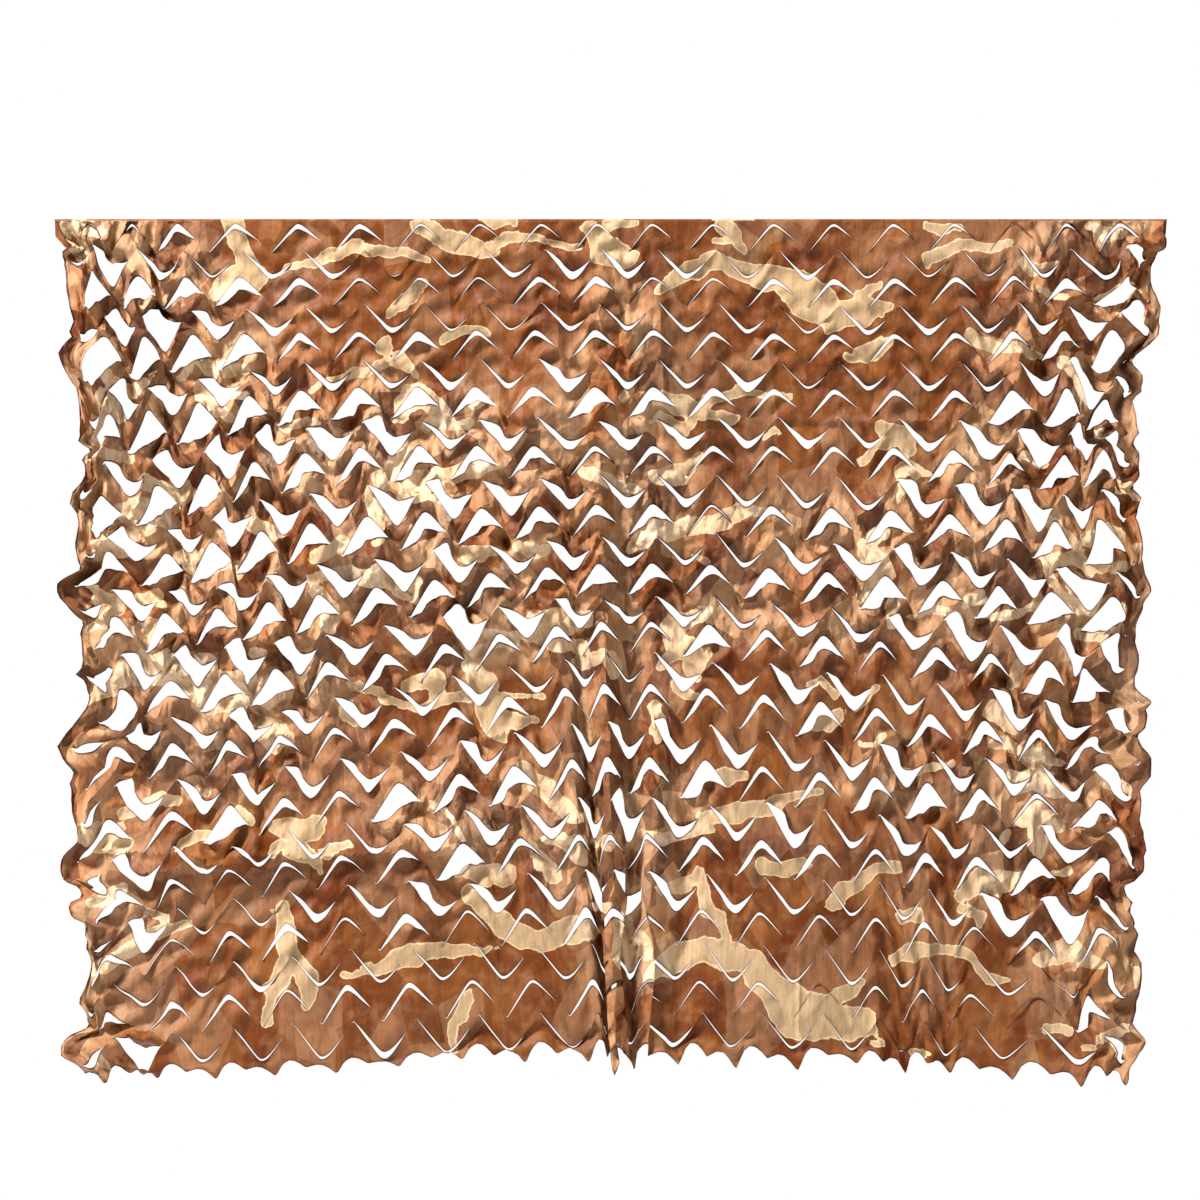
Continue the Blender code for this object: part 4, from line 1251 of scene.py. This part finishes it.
    def colour(self):
        """The printed colour, darkened between the threads, and along the cut lips by a painted
        shadow.
        """
        drawn = self.mapped(Scale=(1.0, THREAD_STRETCH, 1.0))
        threads = self.ramp(self.noise(190.0, 4.0, where=drawn), 0.35, 0.65, 0.16, 0.0)
        colour = self.mix(threads, self.printed(), "threads", "MULTIPLY")
        specks = self.ramp(self.fine, 0.30, 0.70, 0.10, 0.0)
        colour = self.mix(specks, colour, "threads", "MULTIPLY")
        # painted shadow along the cut lips
        painted_lip_shadow = self.ramp(self.lip, 0.0014, 0.0042, 1.0, 0.0)
        painted_lip_shadow = self.product(painted_lip_shadow, self.ramp(self.loose, 0.0, 0.6, 0.45, 0.92))
        return self.mix(painted_lip_shadow, colour, "lip", "MULTIPLY")

    def roughness(self):
        broad = self.ramp(self.middle, 0.3, 0.7, 0.46, 0.60)
        return self.math("ADD", broad, self.ramp(self.fine, 0.3, 0.7, -0.04, 0.04))

    def sharp_creases(self):
        """Height of the creases that are too fine for the mesh."""
        creases = 0.0
        for scale, slope in SHARP_CREASES:
            ridge = self.cells(scale, "DISTANCE_TO_EDGE", "Distance")
            creases = self.math("ADD", creases, self.product(ridge, slope / scale))
        return self.product(creases, self.ramp(self.loose, 0.0, 0.8, 0.22, 1.0))

    def normal(self):
        """The normal tipped by facets, then bumped by creases, streaks, wear and weave."""
        share = self.ramp(self.loose, 0.0, 0.8, 0.45, 1.0)
        normal = self.add("NewGeometry", "Normal", {})
        for cell, reach in zip((self.patches, self.wide_facets, self.fine_facets), TIPS):
            normal = self.tip(normal, cell, reach, share)
        normal = self.add("VectorMath", 0, {0: normal}, operation="NORMALIZE")
        weave = self.product(self.threads("X"), self.threads("Y"))
        normal = self.bump(1.0, 1.0, self.sharp_creases(), normal)
        normal = self.bump(0.8, 0.0009, self.streaks, normal)
        normal = self.bump(0.5, 0.0007, self.middle, normal)
        return self.bump(0.35, 0.00012, weave, normal)


def cloth_material():
    material = bpy.data.materials.new("printed desert cloth")
    material.use_nodes = True
    tree = material.node_tree
    shader = tree.nodes["Principled BSDF"]
    nodes = ClothNodes(tree)
    tree.links.new(nodes.colour(), shader.inputs["Base Color"])
    tree.links.new(nodes.roughness(), shader.inputs["Roughness"])
    tree.links.new(nodes.normal(), shader.inputs["Normal"])
    shader.inputs["Specular IOR Level"].default_value = 0.12
    shader.inputs["Sheen Weight"].default_value = 0.02
    shader.inputs["Sheen Roughness"].default_value = 0.45
    shader.inputs["Sheen Tint"].default_value = linear(COLOURS["sheen"])
    return material


# ---- Stage ----
def add_floor():
    bpy.ops.mesh.primitive_plane_add(size=FLOOR_SIZE, location=(0, 0, FLOOR_LEVEL))
    floor = bpy.context.object
    floor.name = "floor"
    material = bpy.data.materials.new("pale floor")
    material.use_nodes = True
    shader = material.node_tree.nodes["Principled BSDF"]
    shader.inputs["Base Color"].default_value = (0.9, 0.9, 0.9, 1)
    shader.inputs["Roughness"].default_value = 0.9
    shader.inputs["Emission Color"].default_value = (1, 1, 1, 1)
    shader.inputs["Emission Strength"].default_value = FLOOR_GLOW
    floor.data.materials.append(material)


def add_area_light(name, place, target, size, power):
    data = bpy.data.lights.new(name, "AREA")
    data.size = size
    data.energy = power
    light = bpy.data.objects.new(name, data)
    light.location = place
    aim = Vector(target) - Vector(place)
    light.rotation_euler = aim.to_track_quat("-Z", "Y").to_euler()
    bpy.context.scene.collection.objects.link(light)


def add_world():
    """A white studio: full white behind the object, a softer warm light on it."""
    world = bpy.data.worlds.new("studio")
    bpy.context.scene.world = world
    world.use_nodes = True
    tree = world.node_tree
    light = tree.nodes["Background"]
    light.inputs["Color"].default_value = AMBIENT_COLOUR
    light.inputs["Strength"].default_value = AMBIENT
    behind = add_node(tree, "Background", {"Color": (1, 1, 1, 1), "Strength": 1.0})
    seen = add_node(tree, "LightPath", {}).outputs["Is Camera Ray"]
    both = add_node(tree, "MixShader", {0: seen, 1: light.outputs[0], 2: behind.outputs[0]})
    tree.links.new(both.outputs[0], tree.nodes["World Output"].inputs["Surface"])


def add_camera():
    """A camera level with the net and square to it, as in the photo."""
    data = bpy.data.cameras.new("camera")
    data.lens = CAMERA_LENS
    camera = bpy.data.objects.new("camera", data)
    camera.location = CAMERA_PLACE
    camera.rotation_euler = (np.pi / 2, 0, 0)
    bpy.context.scene.collection.objects.link(camera)
    bpy.context.scene.camera = camera


def main():
    cloth = build_cloth()
    cloth.data.materials.append(cloth_material())
    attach(cloth, BODY)
    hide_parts(NODE)
    add_floor()
    add_world()
    for light in LIGHTS:
        add_area_light(*light)
    add_camera()
    bpy.context.scene.view_settings.view_transform = "Standard"


main()
